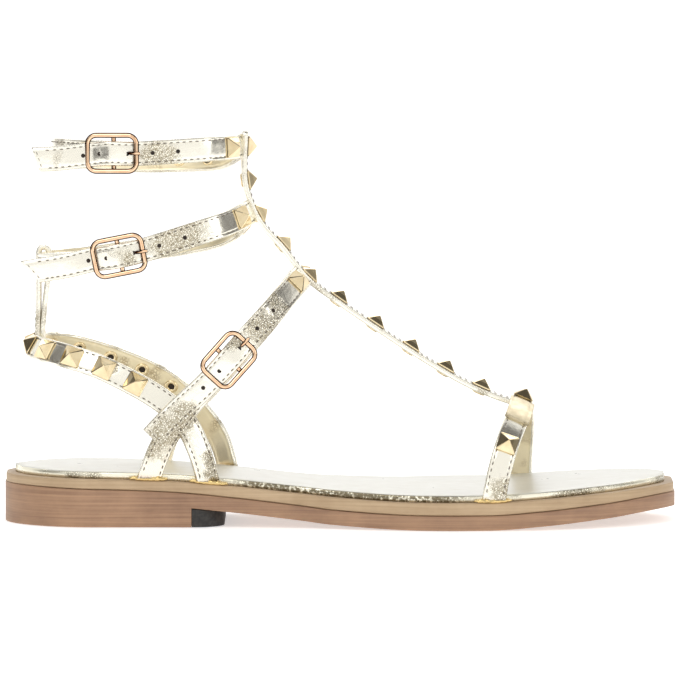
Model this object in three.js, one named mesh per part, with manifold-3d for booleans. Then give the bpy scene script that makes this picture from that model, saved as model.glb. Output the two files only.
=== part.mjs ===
// Gladiator sandal for the right foot: leather straps with pyramid studs on a flat sole with a low heel.
// Millimetres, +X to the toe, +Y to the inner side of the foot, +Z up. The sole stands on z = 0.

import * as THREE from 'three';
import { mergeVertices } from 'three/addons/utils/BufferGeometryUtils.js';
import Module from 'manifold-3d';

const wasm = await Module();
wasm.setup();

// Driving sizes
const SOLE_LENGTH = 250;
const BALL_HALF = 44.5; // half the width of the sole at the ball
const HEEL_HEIGHT = 17.8; // floor to the top of the midsole at the heel
const TOE_SPRING = 5.6; // how far the tip of the toe stands off the floor
const ANKLE_HEIGHT = 141; // floor to the upper half of the top ankle strap at the front
const OUTSOLE_THICKNESS = 5.4;
const MIDSOLE_THICKNESS = 4.8;
const MIDSOLE_STEP = 0.5; // the outsole stands this much prouder than the midsole
const MIDSOLE_TAPER = 0.3; // share of the midsole's thickness that is lost at the tip of the toe
const HEEL_LENGTH = 70; // tan part of the heel
const BREAST_LENGTH = 12; // black front of the heel
const BREAST_CORNER = 12; // how far the corner of the heel front is cut back
const INSOLE_INSET = 3.3; // ledge beside the insole, where the straps come down
const INSOLE_TIP = 3.8; // the same ledge at the ends of the heel and toe
const LEDGE_SPARE = 0.25; // ledge left outside the foot of a strap
const INSOLE_THICKNESS = 2.6;
const INSOLE_CROWN = 0.5;
const INSOLE_ROUND = 0.9;
const TOE_FLAT = 10; // half the blunt tip of the toe
const HEEL_FLAT = 3; // half the blunt back of the heel
const STRAP_WIDTH = 9.3;
const BAR_WIDTH = 9; // strap along the front of the ankle and instep
const STRAP_THICKNESS = 2.1;
const STRAP_EDGE = 0.5; // rounding of a strap's edges
const LAYER_PRESS = 0.15; // how deep one strap is pressed into the one that it is sewn to
const STAY_WIDTH = 8;
const STAY_THICKNESS = 2;
const BUCKLE_LENGTH = 20.3;
const BUCKLE_HEIGHT = 15.2;
const BUCKLE_CORNER = 4.2;
const BUCKLE_WIRE = 1.9;
const PRONG_WIRE = 1.2;
const PRONG_REACH = 5.8; // centre bar to the hole in use
const STUD_SIDE = 7.4;
const STUD_RISE = 2.7;
const STUD_BEVEL = 0.6;
const STUD_PITCH = 12.5; // along the top ankle strap
const HEEL_STUD_PITCH = 12.9;
const STUD_SPARE = 2; // gap between a stud and the front bar beside it
const PLATE_LENGTH = 20;
const PLATE_THICKNESS = 0.8;
const GAP = 0.3; // clearance between pieces that touch
const SMALLEST_EDGE = 0.02; // what is shorter is merged after a join
const SLIVER = 0.003; // flattest triangle that is kept after a join
const BAR_SIDES = 8; // sides of a round wire
const ROUND_STEPS = 7; // sections in a rounded sole end

const UP = new THREE.Vector3(0, 0, 1);

// Finishes
function finish(color, metalness, roughness) {
  return new THREE.MeshStandardMaterial({ color, metalness, roughness });
}
const paleGold = () => finish(0xe1d8b8, 0.7, 0.35);
const gold = () => finish(0xc8a468, 1, 0.2);
const tan = () => finish(0xa8826a, 0, 0.6);
const lightTan = () => finish(0xc4aa8c, 0, 0.6);
const blackRubber = () => finish(0x26241f, 0, 0.8);

// Value of one column of a table at a share of its length, by a monotone cubic through the rows
function column(rows, key, at) {
  const last = rows.length - 1;
  const inside = Math.min(Math.max(at, rows[0].at), rows[last].at);
  let i = 0;
  while (i < last - 1 && inside > rows[i + 1].at) i += 1;
  const chord = (j) => (rows[j + 1][key] - rows[j][key]) / (rows[j + 1].at - rows[j].at);
  const slope = (j) => {
    if (j === 0 || j === last) return 0;
    const before = chord(j - 1);
    const after = chord(j);
    return before * after > 0 ? (2 * before * after) / (before + after) : 0;
  };
  const span = rows[i + 1].at - rows[i].at;
  const t = (inside - rows[i].at) / span;
  const ease = t * t * (3 - 2 * t);
  const bend = span * t * (1 - t) * ((1 - t) * slope(i) - t * slope(i + 1));
  return rows[i][key] * (1 - ease) + rows[i + 1][key] * ease + bend;
}

// Plan of the sole: middle line and half width, as shares of the length and of half the ball width
const SOLE_PLAN = [
  { at: 0, middle: 0, half: 0.69 },
  { at: 0.14, middle: 0, half: 0.72 },
  { at: 0.26, middle: -0.03, half: 0.69 },
  { at: 0.42, middle: -0.09, half: 0.67 },
  { at: 0.55, middle: -0.08, half: 0.85 },
  { at: 0.68, middle: -0.03, half: 1 },
  { at: 0.78, middle: 0.02, half: 0.99 },
  { at: 0.9, middle: 0.1, half: 0.93 },
  { at: 1, middle: 0.14, half: 0.86 },
];
// Side view: rise of the heel, rise of the toe and thickness of the midsole, each as a share of its size
const SOLE_SIDE = [
  { at: 0, heel: 1.04, toe: 0, midsole: 0.7 },
  { at: 0.14, heel: 1, toe: 0, midsole: 0.81 },
  { at: 0.24, heel: 0.91, toe: 0, midsole: 0.84 },
  { at: 0.35, heel: 0.64, toe: 0, midsole: 0.9 },
  { at: 0.44, heel: 0.33, toe: 0, midsole: 0.95 },
  { at: 0.49, heel: 0.18, toe: 0, midsole: 1 },
  { at: 0.62, heel: 0, toe: 0, midsole: 1 },
  { at: 0.72, heel: 0, toe: 0, midsole: 1 },
  { at: 0.8, heel: 0, toe: 0.24, midsole: 0.95 },
  { at: 0.89, heel: 0, toe: 0.6, midsole: 0.85 },
  { at: 1, heel: 0, toe: 1, midsole: 0.7 },
];
const FOREFOOT_HEIGHT = OUTSOLE_THICKNESS + MIDSOLE_THICKNESS;
const FOREFOOT_FLAT = [0.62, 0.72]; // shares of the length where the forefoot lies on the floor
const HEEL_ROUND = 0.13 * SOLE_LENGTH;
const TOE_ROUND = 0.22 * SOLE_LENGTH;
const TOE_SQUARE = 2.3; // exponent of the toe's curve: 2 is round, more is squarer

// Share of the full width that is left near the two rounded ends
function endShare(x) {
  const half = BALL_HALF * column(SOLE_PLAN, 'half', x / SOLE_LENGTH);
  const fromHeel = HEEL_ROUND - x;
  const fromToe = x - (SOLE_LENGTH - TOE_ROUND);
  if (fromHeel > 0) {
    const tip = Math.sqrt(1 - (HEEL_FLAT / half) ** 2);
    return Math.sqrt(1 - (tip * fromHeel / HEEL_ROUND) ** 2);
  }
  if (fromToe > 0) {
    const tip = (1 - (TOE_FLAT / half) ** TOE_SQUARE) ** (1 / TOE_SQUARE);
    return (1 - (tip * fromToe / TOE_ROUND) ** TOE_SQUARE) ** (1 / TOE_SQUARE);
  }
  return 1;
}
const middleY = (x) => BALL_HALF * column(SOLE_PLAN, 'middle', x / SOLE_LENGTH);
const halfY = (x) => BALL_HALF * column(SOLE_PLAN, 'half', x / SOLE_LENGTH) * endShare(x);
const edgeY = (x, side) => middleY(x) + side * halfY(x); // side -1 is the outer edge, 1 the inner

// Heights over the floor
function soleTop(x) {
  const at = x / SOLE_LENGTH;
  const heel = (HEEL_HEIGHT - FOREFOOT_HEIGHT) * column(SOLE_SIDE, 'heel', at);
  const toe = (TOE_SPRING - MIDSOLE_THICKNESS * MIDSOLE_TAPER) * column(SOLE_SIDE, 'toe', at);
  return FOREFOOT_HEIGHT + heel + toe;
}
const midsoleThickness = (x) => MIDSOLE_THICKNESS * column(SOLE_SIDE, 'midsole', x / SOLE_LENGTH);
function outsoleTop(x) {
  return soleTop(x) - midsoleThickness(x);
}
function outsoleBottom(x) {
  const at = x / SOLE_LENGTH;
  if (at >= FOREFOOT_FLAT[0] && at <= FOREFOOT_FLAT[1]) return 0;
  return Math.max(0, outsoleTop(x) - OUTSOLE_THICKNESS);
}

// Stations along the sole, close together where the ends are rounded
function soleStations(from, to) {
  const stations = [];
  for (let i = 0; i < ROUND_STEPS; i += 1) {
    stations.push(HEEL_ROUND * (1 - Math.cos((Math.PI / 2) * (i / ROUND_STEPS))));
    stations.push(SOLE_LENGTH - TOE_ROUND * (1 - Math.cos((Math.PI / 2) * (i / ROUND_STEPS))));
  }
  const spans = 13;
  const run = SOLE_LENGTH - HEEL_ROUND - TOE_ROUND;
  for (let i = 0; i <= spans; i += 1) stations.push(HEEL_ROUND + run * (i / spans));
  stations.push(FOREFOOT_FLAT[0] * SOLE_LENGTH, FOREFOOT_FLAT[1] * SOLE_LENGTH);
  stations.push(from, to);
  const kept = stations.filter((x) => x >= from && x <= to).sort((a, b) => a - b);
  return kept.filter((x, i) => i === 0 || x - kept[i - 1] > 0.4 || x === to);
}

// Closed body through rings of equally many points, each a list of Vector3; `loop` joins the last ring
// to the first
function loft(rings, loop = false) {
  const count = rings[0].length;
  const position = rings.flat().flatMap((p) => [p.x, p.y, p.z]);
  const index = [];
  const spans = loop ? rings.length : rings.length - 1;
  for (let i = 0; i < spans; i += 1) {
    const next = (i + 1) % rings.length;
    for (let j = 0; j < count; j += 1) {
      const k = (j + 1) % count;
      const [a, b, c, d] = [i * count + j, i * count + k, next * count + k, next * count + j];
      index.push(a, b, c, a, c, d);
    }
  }
  if (!loop) {
    const end = (rings.length - 1) * count;
    for (let j = 1; j < count - 1; j += 1) {
      index.push(0, j + 1, j);
      index.push(end, end + j, end + j + 1);
    }
  }
  return outward(position, index);
}

// Geometry whose faces point out, whatever way round the rings went
function outward(position, index) {
  let volume = 0;
  const corner = (i) => new THREE.Vector3().fromArray(position, 3 * index[i]);
  for (let i = 0; i < index.length; i += 3) {
    volume += corner(i).dot(corner(i + 1).cross(corner(i + 2)));
  }
  if (volume < 0) {
    for (let i = 0; i < index.length; i += 3) [index[i], index[i + 1]] = [index[i + 1], index[i]];
  }
  const geometry = new THREE.BufferGeometry();
  geometry.setAttribute('position', new THREE.Float32BufferAttribute(position, 3));
  geometry.setIndex(index);
  return geometry;
}

// Geometry to solid and back, for joining and cutting
function toSolid(geometry) {
  const bare = geometry.clone();
  bare.deleteAttribute('normal');
  bare.deleteAttribute('uv');
  const merged = mergeVertices(bare, 1e-4);
  return new wasm.Manifold(new wasm.Mesh({
    numProp: 3,
    vertProperties: new Float32Array(merged.attributes.position.array),
    triVerts: new Uint32Array(merged.index.array),
  }));
}
function toGeometry(solid) {
  const mesh = solid.getMesh();
  const geometry = new THREE.BufferGeometry();
  geometry.setAttribute('position', new THREE.BufferAttribute(new Float32Array(mesh.vertProperties), 3));
  geometry.setIndex(new THREE.BufferAttribute(new Uint32Array(mesh.triVerts), 1));
  return geometry;
}
// Joined straps without slivers: where a triangle is flatter than the limit, its longest side is swapped for
// the other diagonal of the two triangles that share it, one at a time
function withoutSlivers(solid) {
  const geometry = toGeometry(solid.simplify(SMALLEST_EDGE));
  const corners = Array.from(geometry.index.array);
  const place = (i) => new THREE.Vector3().fromArray(geometry.attributes.position.array, 3 * i);
  const owner = new Map();
  const own = (t) => {
    for (let k = 0; k < 3; k += 1) owner.set(`${corners[3 * t + k]}:${corners[3 * t + ((k + 1) % 3)]}`, t);
  };
  const disown = (t) => {
    for (let k = 0; k < 3; k += 1) owner.delete(`${corners[3 * t + k]}:${corners[3 * t + ((k + 1) % 3)]}`);
  };
  for (let t = 0; t < corners.length / 3; t += 1) own(t);
  for (let t = 0; t < corners.length / 3; t += 1) {
    const tri = corners.slice(3 * t, 3 * t + 3);
    const sides = [0, 1, 2].map((k) => place(tri[k]).distanceTo(place(tri[(k + 1) % 3])));
    const k = sides.indexOf(Math.max(...sides));
    const [a, b, c] = [tri[k], tri[(k + 1) % 3], tri[(k + 2) % 3]];
    const side = place(b).sub(place(a));
    const height = side.clone().cross(place(c).sub(place(a))).length() / side.length();
    if (height > SLIVER) continue;
    const other = owner.get(`${b}:${a}`);
    const d = corners.slice(3 * other, 3 * other + 3).find((v) => v !== a && v !== b);
    if (owner.has(`${c}:${d}`) || owner.has(`${d}:${c}`)) continue;
    disown(t);
    disown(other);
    corners.splice(3 * t, 3, a, d, c);
    corners.splice(3 * other, 3, d, b, c);
    own(t);
    own(other);
  }
  geometry.setIndex(corners);
  return geometry;
}
const join = (geometries) => geometries.map(toSolid).reduce((whole, next) => whole.add(next));

const group = new THREE.Group();
function add(name, geometry, material) {
  const mesh = new THREE.Mesh(geometry, material);
  mesh.name = name;
  group.add(mesh);
  return mesh;
}

// Sole

// Section of a layer of the sole at x: flat below and above, with its edges taken in by `inset`
function layerRing(x, bottom, top, inset, round) {
  const ring = [];
  const outer = edgeY(x, -1) + inset;
  const inner = edgeY(x, 1) - inset;
  ring.push([outer + round, bottom], [outer, bottom + round], [outer, top - round], [outer + round, top]);
  ring.push([inner - round, top], [inner, top - round], [inner, bottom + round], [inner - round, bottom]);
  return ring.map(([y, z]) => new THREE.Vector3(x, y, z));
}
const SOLE_EDGE = 0.4;

function outsole() {
  const rings = soleStations(0, SOLE_LENGTH).map((x) =>
    layerRing(x, outsoleBottom(x), outsoleTop(x), 0, SOLE_EDGE));
  return loft(rings);
}
function midsole() {
  const rings = soleStations(0, SOLE_LENGTH).map((x) => {
    const along = THREE.MathUtils.clamp(x, MIDSOLE_STEP, SOLE_LENGTH - MIDSOLE_STEP);
    const ring = layerRing(x, outsoleTop(x) + GAP, soleTop(x), MIDSOLE_STEP, SOLE_EDGE);
    return ring.map((p) => p.setX(along));
  });
  return loft(rings.filter((ring, i) => i === 0 || ring[0].x > rings[i - 1][0].x));
}
function heel() {
  const rings = soleStations(0, HEEL_LENGTH).map((x) =>
    layerRing(x, 0, outsoleBottom(x) - GAP, SOLE_EDGE, SOLE_EDGE));
  return loft(rings);
}
// Black front of the heel, its two corners cut back in a curve
function heelBreast() {
  const steps = 6;
  const start = HEEL_LENGTH + GAP;
  const rings = [];
  for (let i = 0; i <= steps; i += 1) {
    const turn = (Math.PI / 2) * (i / steps);
    const x = start + BREAST_LENGTH * Math.sin(turn);
    const cut = SOLE_EDGE + BREAST_CORNER * (1 - Math.cos(turn));
    rings.push(layerRing(x, 0, outsoleBottom(x) - GAP, cut, SOLE_EDGE));
  }
  return loft(rings);
}

// Insole: a low cushion with rounded edges and a slight crown
function insole() {
  const stations = soleStations(0, SOLE_LENGTH);
  const scale = (SOLE_LENGTH - 2 * INSOLE_TIP) / SOLE_LENGTH;
  const shoulder = INSOLE_ROUND * 0.35; // middle of the rounded edge: how far in and down it lies
  const corner = [
    [0, INSOLE_THICKNESS - INSOLE_ROUND],
    [shoulder, INSOLE_THICKNESS - shoulder],
    [INSOLE_ROUND * 1.4, INSOLE_THICKNESS],
  ];
  const rings = stations.map((station) => {
    const x = INSOLE_TIP + station * scale;
    const base = soleTop(x) + GAP;
    const full = halfY(station) - INSOLE_INSET;
    const half = Math.max(full, HEEL_FLAT);
    const middle = middleY(station);
    const profile = [
      [-1, 0, 0],
      ...corner.map(([inset, rise]) => [-1, inset, rise]),
      [0, 0, INSOLE_THICKNESS + INSOLE_CROWN],
      ...corner.toReversed().map(([inset, rise]) => [1, inset, rise]),
      [1, 0, 0],
    ];
    return profile.map(([side, inset, rise]) =>
      new THREE.Vector3(x, middle + side * (half - inset), base + rise));
  });
  return loft(rings);
}

add('outsole', outsole(), tan());
add('midsole', midsole(), lightTan());
add('heel', heel(), tan());
add('heel_breast', heelBreast(), blackRubber());

// Straps

// Place on the ledge beside the insole where a strap stands
const ledge = (x, side) => edgeY(x, side) - side * (MIDSOLE_STEP + LEDGE_SPARE + STRAP_THICKNESS / 2);

// Smooth line through the rows of a strap: along and height are shares of the sole's length and of the
// ankle's height, across of half the ball width, and lift raises the strap off its line, in layers
function route(rows, centre, steps) {
  const places = rows.map((row) => new THREE.Vector3(
    row.along * SOLE_LENGTH, row.across * BALL_HALF, row.height * ANKLE_HEIGHT));
  const line = new THREE.CatmullRomCurve3(places, false, 'catmullrom', 0.5);
  const lifts = rows.map((row) => row.lift ?? 0);
  const middle = new THREE.Vector3(
    centre.along * SOLE_LENGTH, centre.across * BALL_HALF, centre.height * ANKLE_HEIGHT);
  const stations = [];
  for (let i = 0; i <= steps; i += 1) {
    const t = i / steps;
    const point = line.getPoint(t);
    const tangent = line.getTangent(t);
    const out = point.clone().sub(middle);
    out.addScaledVector(tangent, -out.dot(tangent)).normalize();
    const seat = t * (rows.length - 1);
    const row = Math.min(Math.floor(seat), rows.length - 2);
    const ease = THREE.MathUtils.smoothstep(seat - row, 0, 1);
    const lift = THREE.MathUtils.lerp(lifts[row], lifts[row + 1], ease) * STRAP_THICKNESS;
    stations.push({ point: point.addScaledVector(out, lift), tangent, out });
  }
  return stations;
}

// Body of a strap through its stations, with its edges rounded
function strap(stations, width, thickness = STRAP_THICKNESS, round = STRAP_EDGE) {
  const [w, t] = [width / 2, thickness / 2];
  const corner = [[w - round, t], [w, t - round]];
  const section = [
    ...corner.toReversed().map(([a, b]) => [-a, b]),
    ...corner,
    ...corner.toReversed().map(([a, b]) => [a, -b]),
    ...corner.map(([a, b]) => [-a, -b]),
  ];
  const rings = stations.map(({ point, tangent, out }) => {
    const across = new THREE.Vector3().crossVectors(tangent, out).normalize();
    return section.map(([a, b]) => point.clone().addScaledVector(across, a).addScaledVector(out, b));
  });
  return loft(rings);
}

// Tables of the straps
const BUCKLE_LIFT = 1.6; // lift of a strap over the centre bar of its buckle, in layers
const INSTEP_BUCKLE = 0.336; // share of the sole's length where the instep strap's buckle sits
const INSTEP_CENTRE = { along: 0.28, across: 0, height: 0.355 };
const LOW_CENTRE = { along: 0.2, across: 0, height: 0.3 };
const TOE_CENTRE = { along: 0.72, across: 0, height: 0.1 };

// Front strap along the middle of the foot, from the top ankle strap down to the toe strap
const FRONT_BAR = [
  { along: 0.359, across: 0, height: 1.03 },
  { along: 0.358, across: 0, height: 0.91 },
  { along: 0.37, across: 0, height: 0.83 },
  { along: 0.388, across: 0, height: 0.775 },
  { along: 0.416, across: 0, height: 0.72 },
  { along: 0.452, across: 0, height: 0.64 },
  { along: 0.5, across: 0, height: 0.576 },
  { along: 0.56, across: 0, height: 0.503 },
  { along: 0.62, across: 0, height: 0.433 },
  { along: 0.68, across: 0, height: 0.37 },
  { along: 0.725, across: 0, height: 0.333 },
  { along: 0.767, across: 0, height: 0.307 },
];
// Toe strap, from the outer ledge over the toes to the inner ledge
const TOE_STRAP = [
  { along: 0.724, side: -1 },
  { along: 0.733, across: -0.98, height: 0.14 },
  { along: 0.748, across: -0.87, height: 0.23 },
  { along: 0.764, across: -0.56, height: 0.29 },
  { along: 0.773, across: 0, height: 0.32 },
  { along: 0.777, across: 0.5, height: 0.284 },
  { along: 0.776, across: 0.84, height: 0.2 },
  { along: 0.772, side: 1 },
];
// Instep strap with the holes: from the inner ledge over the instep, through the buckle to its free end
const INSTEP_STRAP = [
  { along: 0.222, side: 1 },
  { along: 0.24, across: 0.72, height: 0.205 },
  { along: 0.275, across: 0.74, height: 0.285 },
  { along: 0.335, across: 0.72, height: 0.4 },
  { along: 0.396, across: 0.6, height: 0.53 },
  { along: 0.437, across: 0.3, height: 0.63 },
  { along: 0.4435, across: 0, height: 0.6465 },
  { along: 0.4375, across: -0.25, height: 0.6375 },
  { along: 0.402, across: -0.6, height: 0.571 },
  { along: 0.366, across: -0.73, height: 0.503, lift: 0.3 },
  { along: INSTEP_BUCKLE, across: -0.757, height: 0.4455, lift: BUCKLE_LIFT },
  { along: 0.3, across: -0.78, height: 0.376, lift: 1.1 },
  { along: 0.26, across: -0.79, height: 0.31, lift: 1 },
  { along: 0.222, across: -0.79, height: 0.24, lift: 1 },
];
// Lower part of the same strap: from the outer ledge up to the buckle, lying over the heel strap
const BUCKLE_STRAP = [
  { along: 0.21, side: -1 },
  { along: 0.236, across: -0.74, height: 0.215 },
  { along: 0.272, across: -0.79, height: 0.31 },
  { along: 0.298, across: -0.785, height: 0.366 },
  { along: 0.324, across: -0.765, height: 0.42 },
];
// Heel strap: from the outer ledge round the back of the heel to the inner ledge
const HEEL_STRAP = [
  { along: 0.31, side: -1 },
  { along: 0.292, across: -0.715, height: 0.2 },
  { along: 0.268, across: -0.73, height: 0.285 },
  { along: 0.232, across: -0.72, height: 0.34 },
  { along: 0.19, across: -0.7, height: 0.383 },
  { along: 0.14, across: -0.65, height: 0.424 },
  { along: 0.09, across: -0.53, height: 0.449 },
  { along: 0.052, across: -0.3, height: 0.461 },
  { along: 0.041, across: 0, height: 0.466 },
  { along: 0.052, across: 0.3, height: 0.463 },
  { along: 0.09, across: 0.52, height: 0.453 },
  { along: 0.14, across: 0.61, height: 0.428 },
  { along: 0.204, across: 0.66, height: 0.383 },
  { along: 0.25, across: 0.69, height: 0.333 },
  { along: 0.29, across: 0.71, height: 0.262 },
  { along: 0.318, across: 0.71, height: 0.19 },
  { along: 0.336, side: 1 },
];
// Ankle straps: half axes of the loop, its middle, and the height of the strap round the leg by its turn,
// which goes from the front over the inner side and the back to the outer side; then the free end
const TOP_ANKLE = {
  middle: 0.2135,
  halfLong: 0.1387,
  halfWide: 0.61,
  heights: [
    { at: 0, height: 0.993 },
    { at: 45, height: 0.95 },
    { at: 90, height: 0.942 },
    { at: 135, height: 0.955 },
    { at: 180, height: 0.98 },
    { at: 225, height: 0.983 },
    { at: 270, height: 0.981 },
    { at: 315, height: 0.991 },
    { at: 360, height: 0.993 },
  ],
  buckle: 0.163,
  freeEnd: [
    { along: 0.131, across: -0.54, height: 0.976, lift: 1.1 },
    { along: 0.09, across: -0.56, height: 0.969, lift: 1 },
    { along: 0.05, across: -0.555, height: 0.966, lift: 1 },
  ],
};
const MIDDLE_ANKLE = {
  middle: 0.2125,
  halfLong: 0.1545,
  halfWide: 0.64,
  heights: [
    { at: 0, height: 0.82 },
    { at: 45, height: 0.745 },
    { at: 90, height: 0.705 },
    { at: 135, height: 0.682 },
    { at: 180, height: 0.68 },
    { at: 225, height: 0.69 },
    { at: 270, height: 0.73 },
    { at: 315, height: 0.788 },
    { at: 360, height: 0.82 },
  ],
  buckle: 0.173,
  freeEnd: [
    { along: 0.138, across: -0.59, height: 0.704, lift: 1.1 },
    { along: 0.1, across: -0.605, height: 0.689, lift: 1 },
    { along: 0.042, across: -0.59, height: 0.672, lift: 1 },
  ],
};

// Rows with a side are the feet of a strap: they stand on that ledge and run a little into the sole, which
// is then cut off along it
const LEG_SPARE = 4; // how far a foot runs into the sole before it is cut off
function standing(rows) {
  return rows.map((row) => {
    if (row.side === undefined) return row;
    const x = row.along * SOLE_LENGTH;
    const across = ledge(x, row.side) / BALL_HALF;
    return { ...row, across, height: (soleTop(x) - LEG_SPARE) / ANKLE_HEIGHT };
  });
}

// Point of an ankle loop at a turn in degrees from the front
function loopPoint(loop, turn) {
  const angle = THREE.MathUtils.degToRad(turn);
  return {
    along: loop.middle + loop.halfLong * Math.cos(angle),
    across: loop.halfWide * Math.sin(angle),
    height: column(loop.heights, 'height', turn),
  };
}
// Turn of the loop, on its outer side, where it is at a share of the sole's length
function turnAt(loop, along) {
  return 360 - THREE.MathUtils.radToDeg(Math.acos((along - loop.middle) / loop.halfLong));
}

// Turns in degrees: both ends of an ankle strap stop behind the front bar, a little apart, and its inner
// part ends a little before the buckle
const LOOP_START = 6;
const LOOP_STOP = 3;
const BEFORE_BUCKLE = { turn: 16, lift: 0.1 }; // turn before the buckle where the outer part starts to rise
function ankleLoop(loop, steps) {
  const centre = { along: loop.middle, across: 0, height: loop.heights[0].height };
  const stop = turnAt(loop, loop.buckle) - LOOP_STOP;
  const rows = [];
  const count = 24;
  for (let i = 0; i <= count; i += 1) {
    rows.push(loopPoint(loop, THREE.MathUtils.lerp(LOOP_START, stop, i / count)));
  }
  return route(rows, centre, steps);
}
// Outer part of an ankle strap: from the front bar back through the buckle to its free end
function ankleTongue(loop, steps) {
  const rows = [];
  const buckleTurn = turnAt(loop, loop.buckle);
  for (const turn of [360 - LOOP_START, 340, 322, 304]) rows.push(loopPoint(loop, turn));
  rows.push({ ...loopPoint(loop, buckleTurn + BEFORE_BUCKLE.turn), lift: BEFORE_BUCKLE.lift });
  rows.push({ ...loopPoint(loop, buckleTurn), lift: BUCKLE_LIFT });
  rows.push(...loop.freeEnd);
  return route(rows, { along: loop.middle, across: 0, height: loop.heights[6].height }, steps);
}

// Back stay: a folded strip that hangs the heel strap from the middle ankle strap
function backStay() {
  const backOf = (rows) => rows.reduce((far, row) => (row.along < far.along ? row : far));
  const heelRow = backOf(HEEL_STRAP.filter((row) => row.side === undefined));
  const ankleRow = MIDDLE_ANKLE.heights.find((row) => row.at === 180);
  const ankleX = (MIDDLE_ANKLE.middle - MIDDLE_ANKLE.halfLong) * SOLE_LENGTH;
  const heelX = heelRow.along * SOLE_LENGTH;
  const fold = STRAP_THICKNESS - LAYER_PRESS;
  const top = ankleRow.height * ANKLE_HEIGHT + STRAP_WIDTH / 2 + fold * 0.82;
  const low = heelRow.height * ANKLE_HEIGHT;
  // Each leaf from its end behind the heel strap up to the fold: folds away from x, and height
  const outerLeaf = [
    [heelX, 1, low - STRAP_WIDTH / 2 + 1],
    [heelX, 1, low + 6],
    [heelX, 1.15, low + 14],
    [ankleX, -1, top - 9],
    [ankleX, -1, top - 2.2],
    [ankleX, -0.6, top - 0.4],
  ];
  const innerLeaf = [
    [ankleX, 0.6, top - 0.4],
    [ankleX, 1, top - 2.2],
    [ankleX, 0.9, top - 9],
    [heelX, 2.3, low + 14],
    [heelX, 2, low + 6],
    [heelX, 2, low - STRAP_WIDTH / 2 + 1],
  ];
  const places = [...outerLeaf, [ankleX, 0, top], ...innerLeaf];
  const line = new THREE.CatmullRomCurve3(places.map(([x, folds, z]) =>
    new THREE.Vector3(x + folds * fold, 0, z)));
  const stations = [];
  const steps = 26;
  for (let i = 0; i <= steps; i += 1) {
    const tangent = line.getTangent(i / steps);
    const out = new THREE.Vector3(-tangent.z, 0, tangent.x);
    stations.push({ point: line.getPoint(i / steps), tangent, out });
  }
  const turn = steps / 2;
  const inner = stations.slice(turn - 1);
  return [
    strap(stations.slice(0, turn + 1), STAY_WIDTH, STAY_THICKNESS),
    strap(inner, STAY_WIDTH - 2 * LAYER_PRESS, STAY_THICKNESS),
  ];
}

const frontBarLine = route(FRONT_BAR, INSTEP_CENTRE, 28);
const toeLine = route(standing(TOE_STRAP), TOE_CENTRE, 24);
const instepLine = route(standing(INSTEP_STRAP), INSTEP_CENTRE, 42);
const buckleLine = route(standing(BUCKLE_STRAP), LOW_CENTRE, 11);
const heelLine = route(standing(HEEL_STRAP), LOW_CENTRE, 44);
const topLoop = ankleLoop(TOP_ANKLE, 34);
const topTongue = ankleTongue(TOP_ANKLE, 26);
const middleLoop = ankleLoop(MIDDLE_ANKLE, 34);
const middleTongue = ankleTongue(MIDDLE_ANKLE, 26);

// Length along a line of stations, and the station at a length
function lengths(stations) {
  const sums = [0];
  for (let i = 1; i < stations.length; i += 1) {
    sums.push(sums[i - 1] + stations[i].point.distanceTo(stations[i - 1].point));
  }
  return sums;
}
function stationAt(stations, length) {
  const sums = lengths(stations);
  let i = 1;
  while (i < sums.length - 1 && sums[i] < length) i += 1;
  const t = (length - sums[i - 1]) / (sums[i] - sums[i - 1]);
  const mix = (key) => stations[i - 1][key].clone().lerp(stations[i][key], t);
  return { point: mix('point'), tangent: mix('tangent').normalize(), out: mix('out').normalize() };
}
// Length along a line where it crosses a share of the sole's length, within two shares of the line
function lengthAt(stations, along, from, to) {
  const sums = lengths(stations);
  const total = sums.at(-1);
  const off = stations.map(({ point }) => point.x - along * SOLE_LENGTH);
  const i = off.findIndex((value, k) =>
    sums[k] >= from * total && sums[k] <= to * total && value * off[k + 1] <= 0);
  return THREE.MathUtils.lerp(sums[i], sums[i + 1], off[i] / (off[i] - off[i + 1]));
}
// Length along a line where it is farthest to the heel or, with `way` 1, to the toe
function lengthAtEnd(stations, way) {
  const ahead = stations.map(({ point }) => way * point.x);
  return lengths(stations)[ahead.indexOf(Math.max(...ahead))];
}
// Matrix that carries a piece drawn on a flat strap (X along it, Y across it, Z out of it) to a station
function seat({ point, tangent, out }, rise) {
  const z = out.clone().normalize();
  const y = new THREE.Vector3().crossVectors(z, tangent).normalize();
  const x = new THREE.Vector3().crossVectors(y, z);
  const place = point.clone().addScaledVector(z, rise);
  return new THREE.Matrix4().makeBasis(x, y, z).setPosition(place);
}
function addOn(name, geometry, material, matrix) {
  add(name, geometry, material).applyMatrix4(matrix);
}

// Round wire along a path of places
function wire(places, radius) {
  const points = places.map((place) => new THREE.Vector3(...place));
  const line = new THREE.CatmullRomCurve3(points, false, 'catmullrom', 0.5);
  const section = new THREE.Shape();
  for (let i = 0; i < BAR_SIDES; i += 1) {
    const turn = (2 * Math.PI * i) / BAR_SIDES;
    const [a, b] = [radius * Math.cos(turn), radius * Math.sin(turn)];
    if (i === 0) section.moveTo(a, b);
    else section.lineTo(a, b);
  }
  return new THREE.ExtrudeGeometry(section, { steps: 2 * (places.length - 1), extrudePath: line });
}
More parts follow.
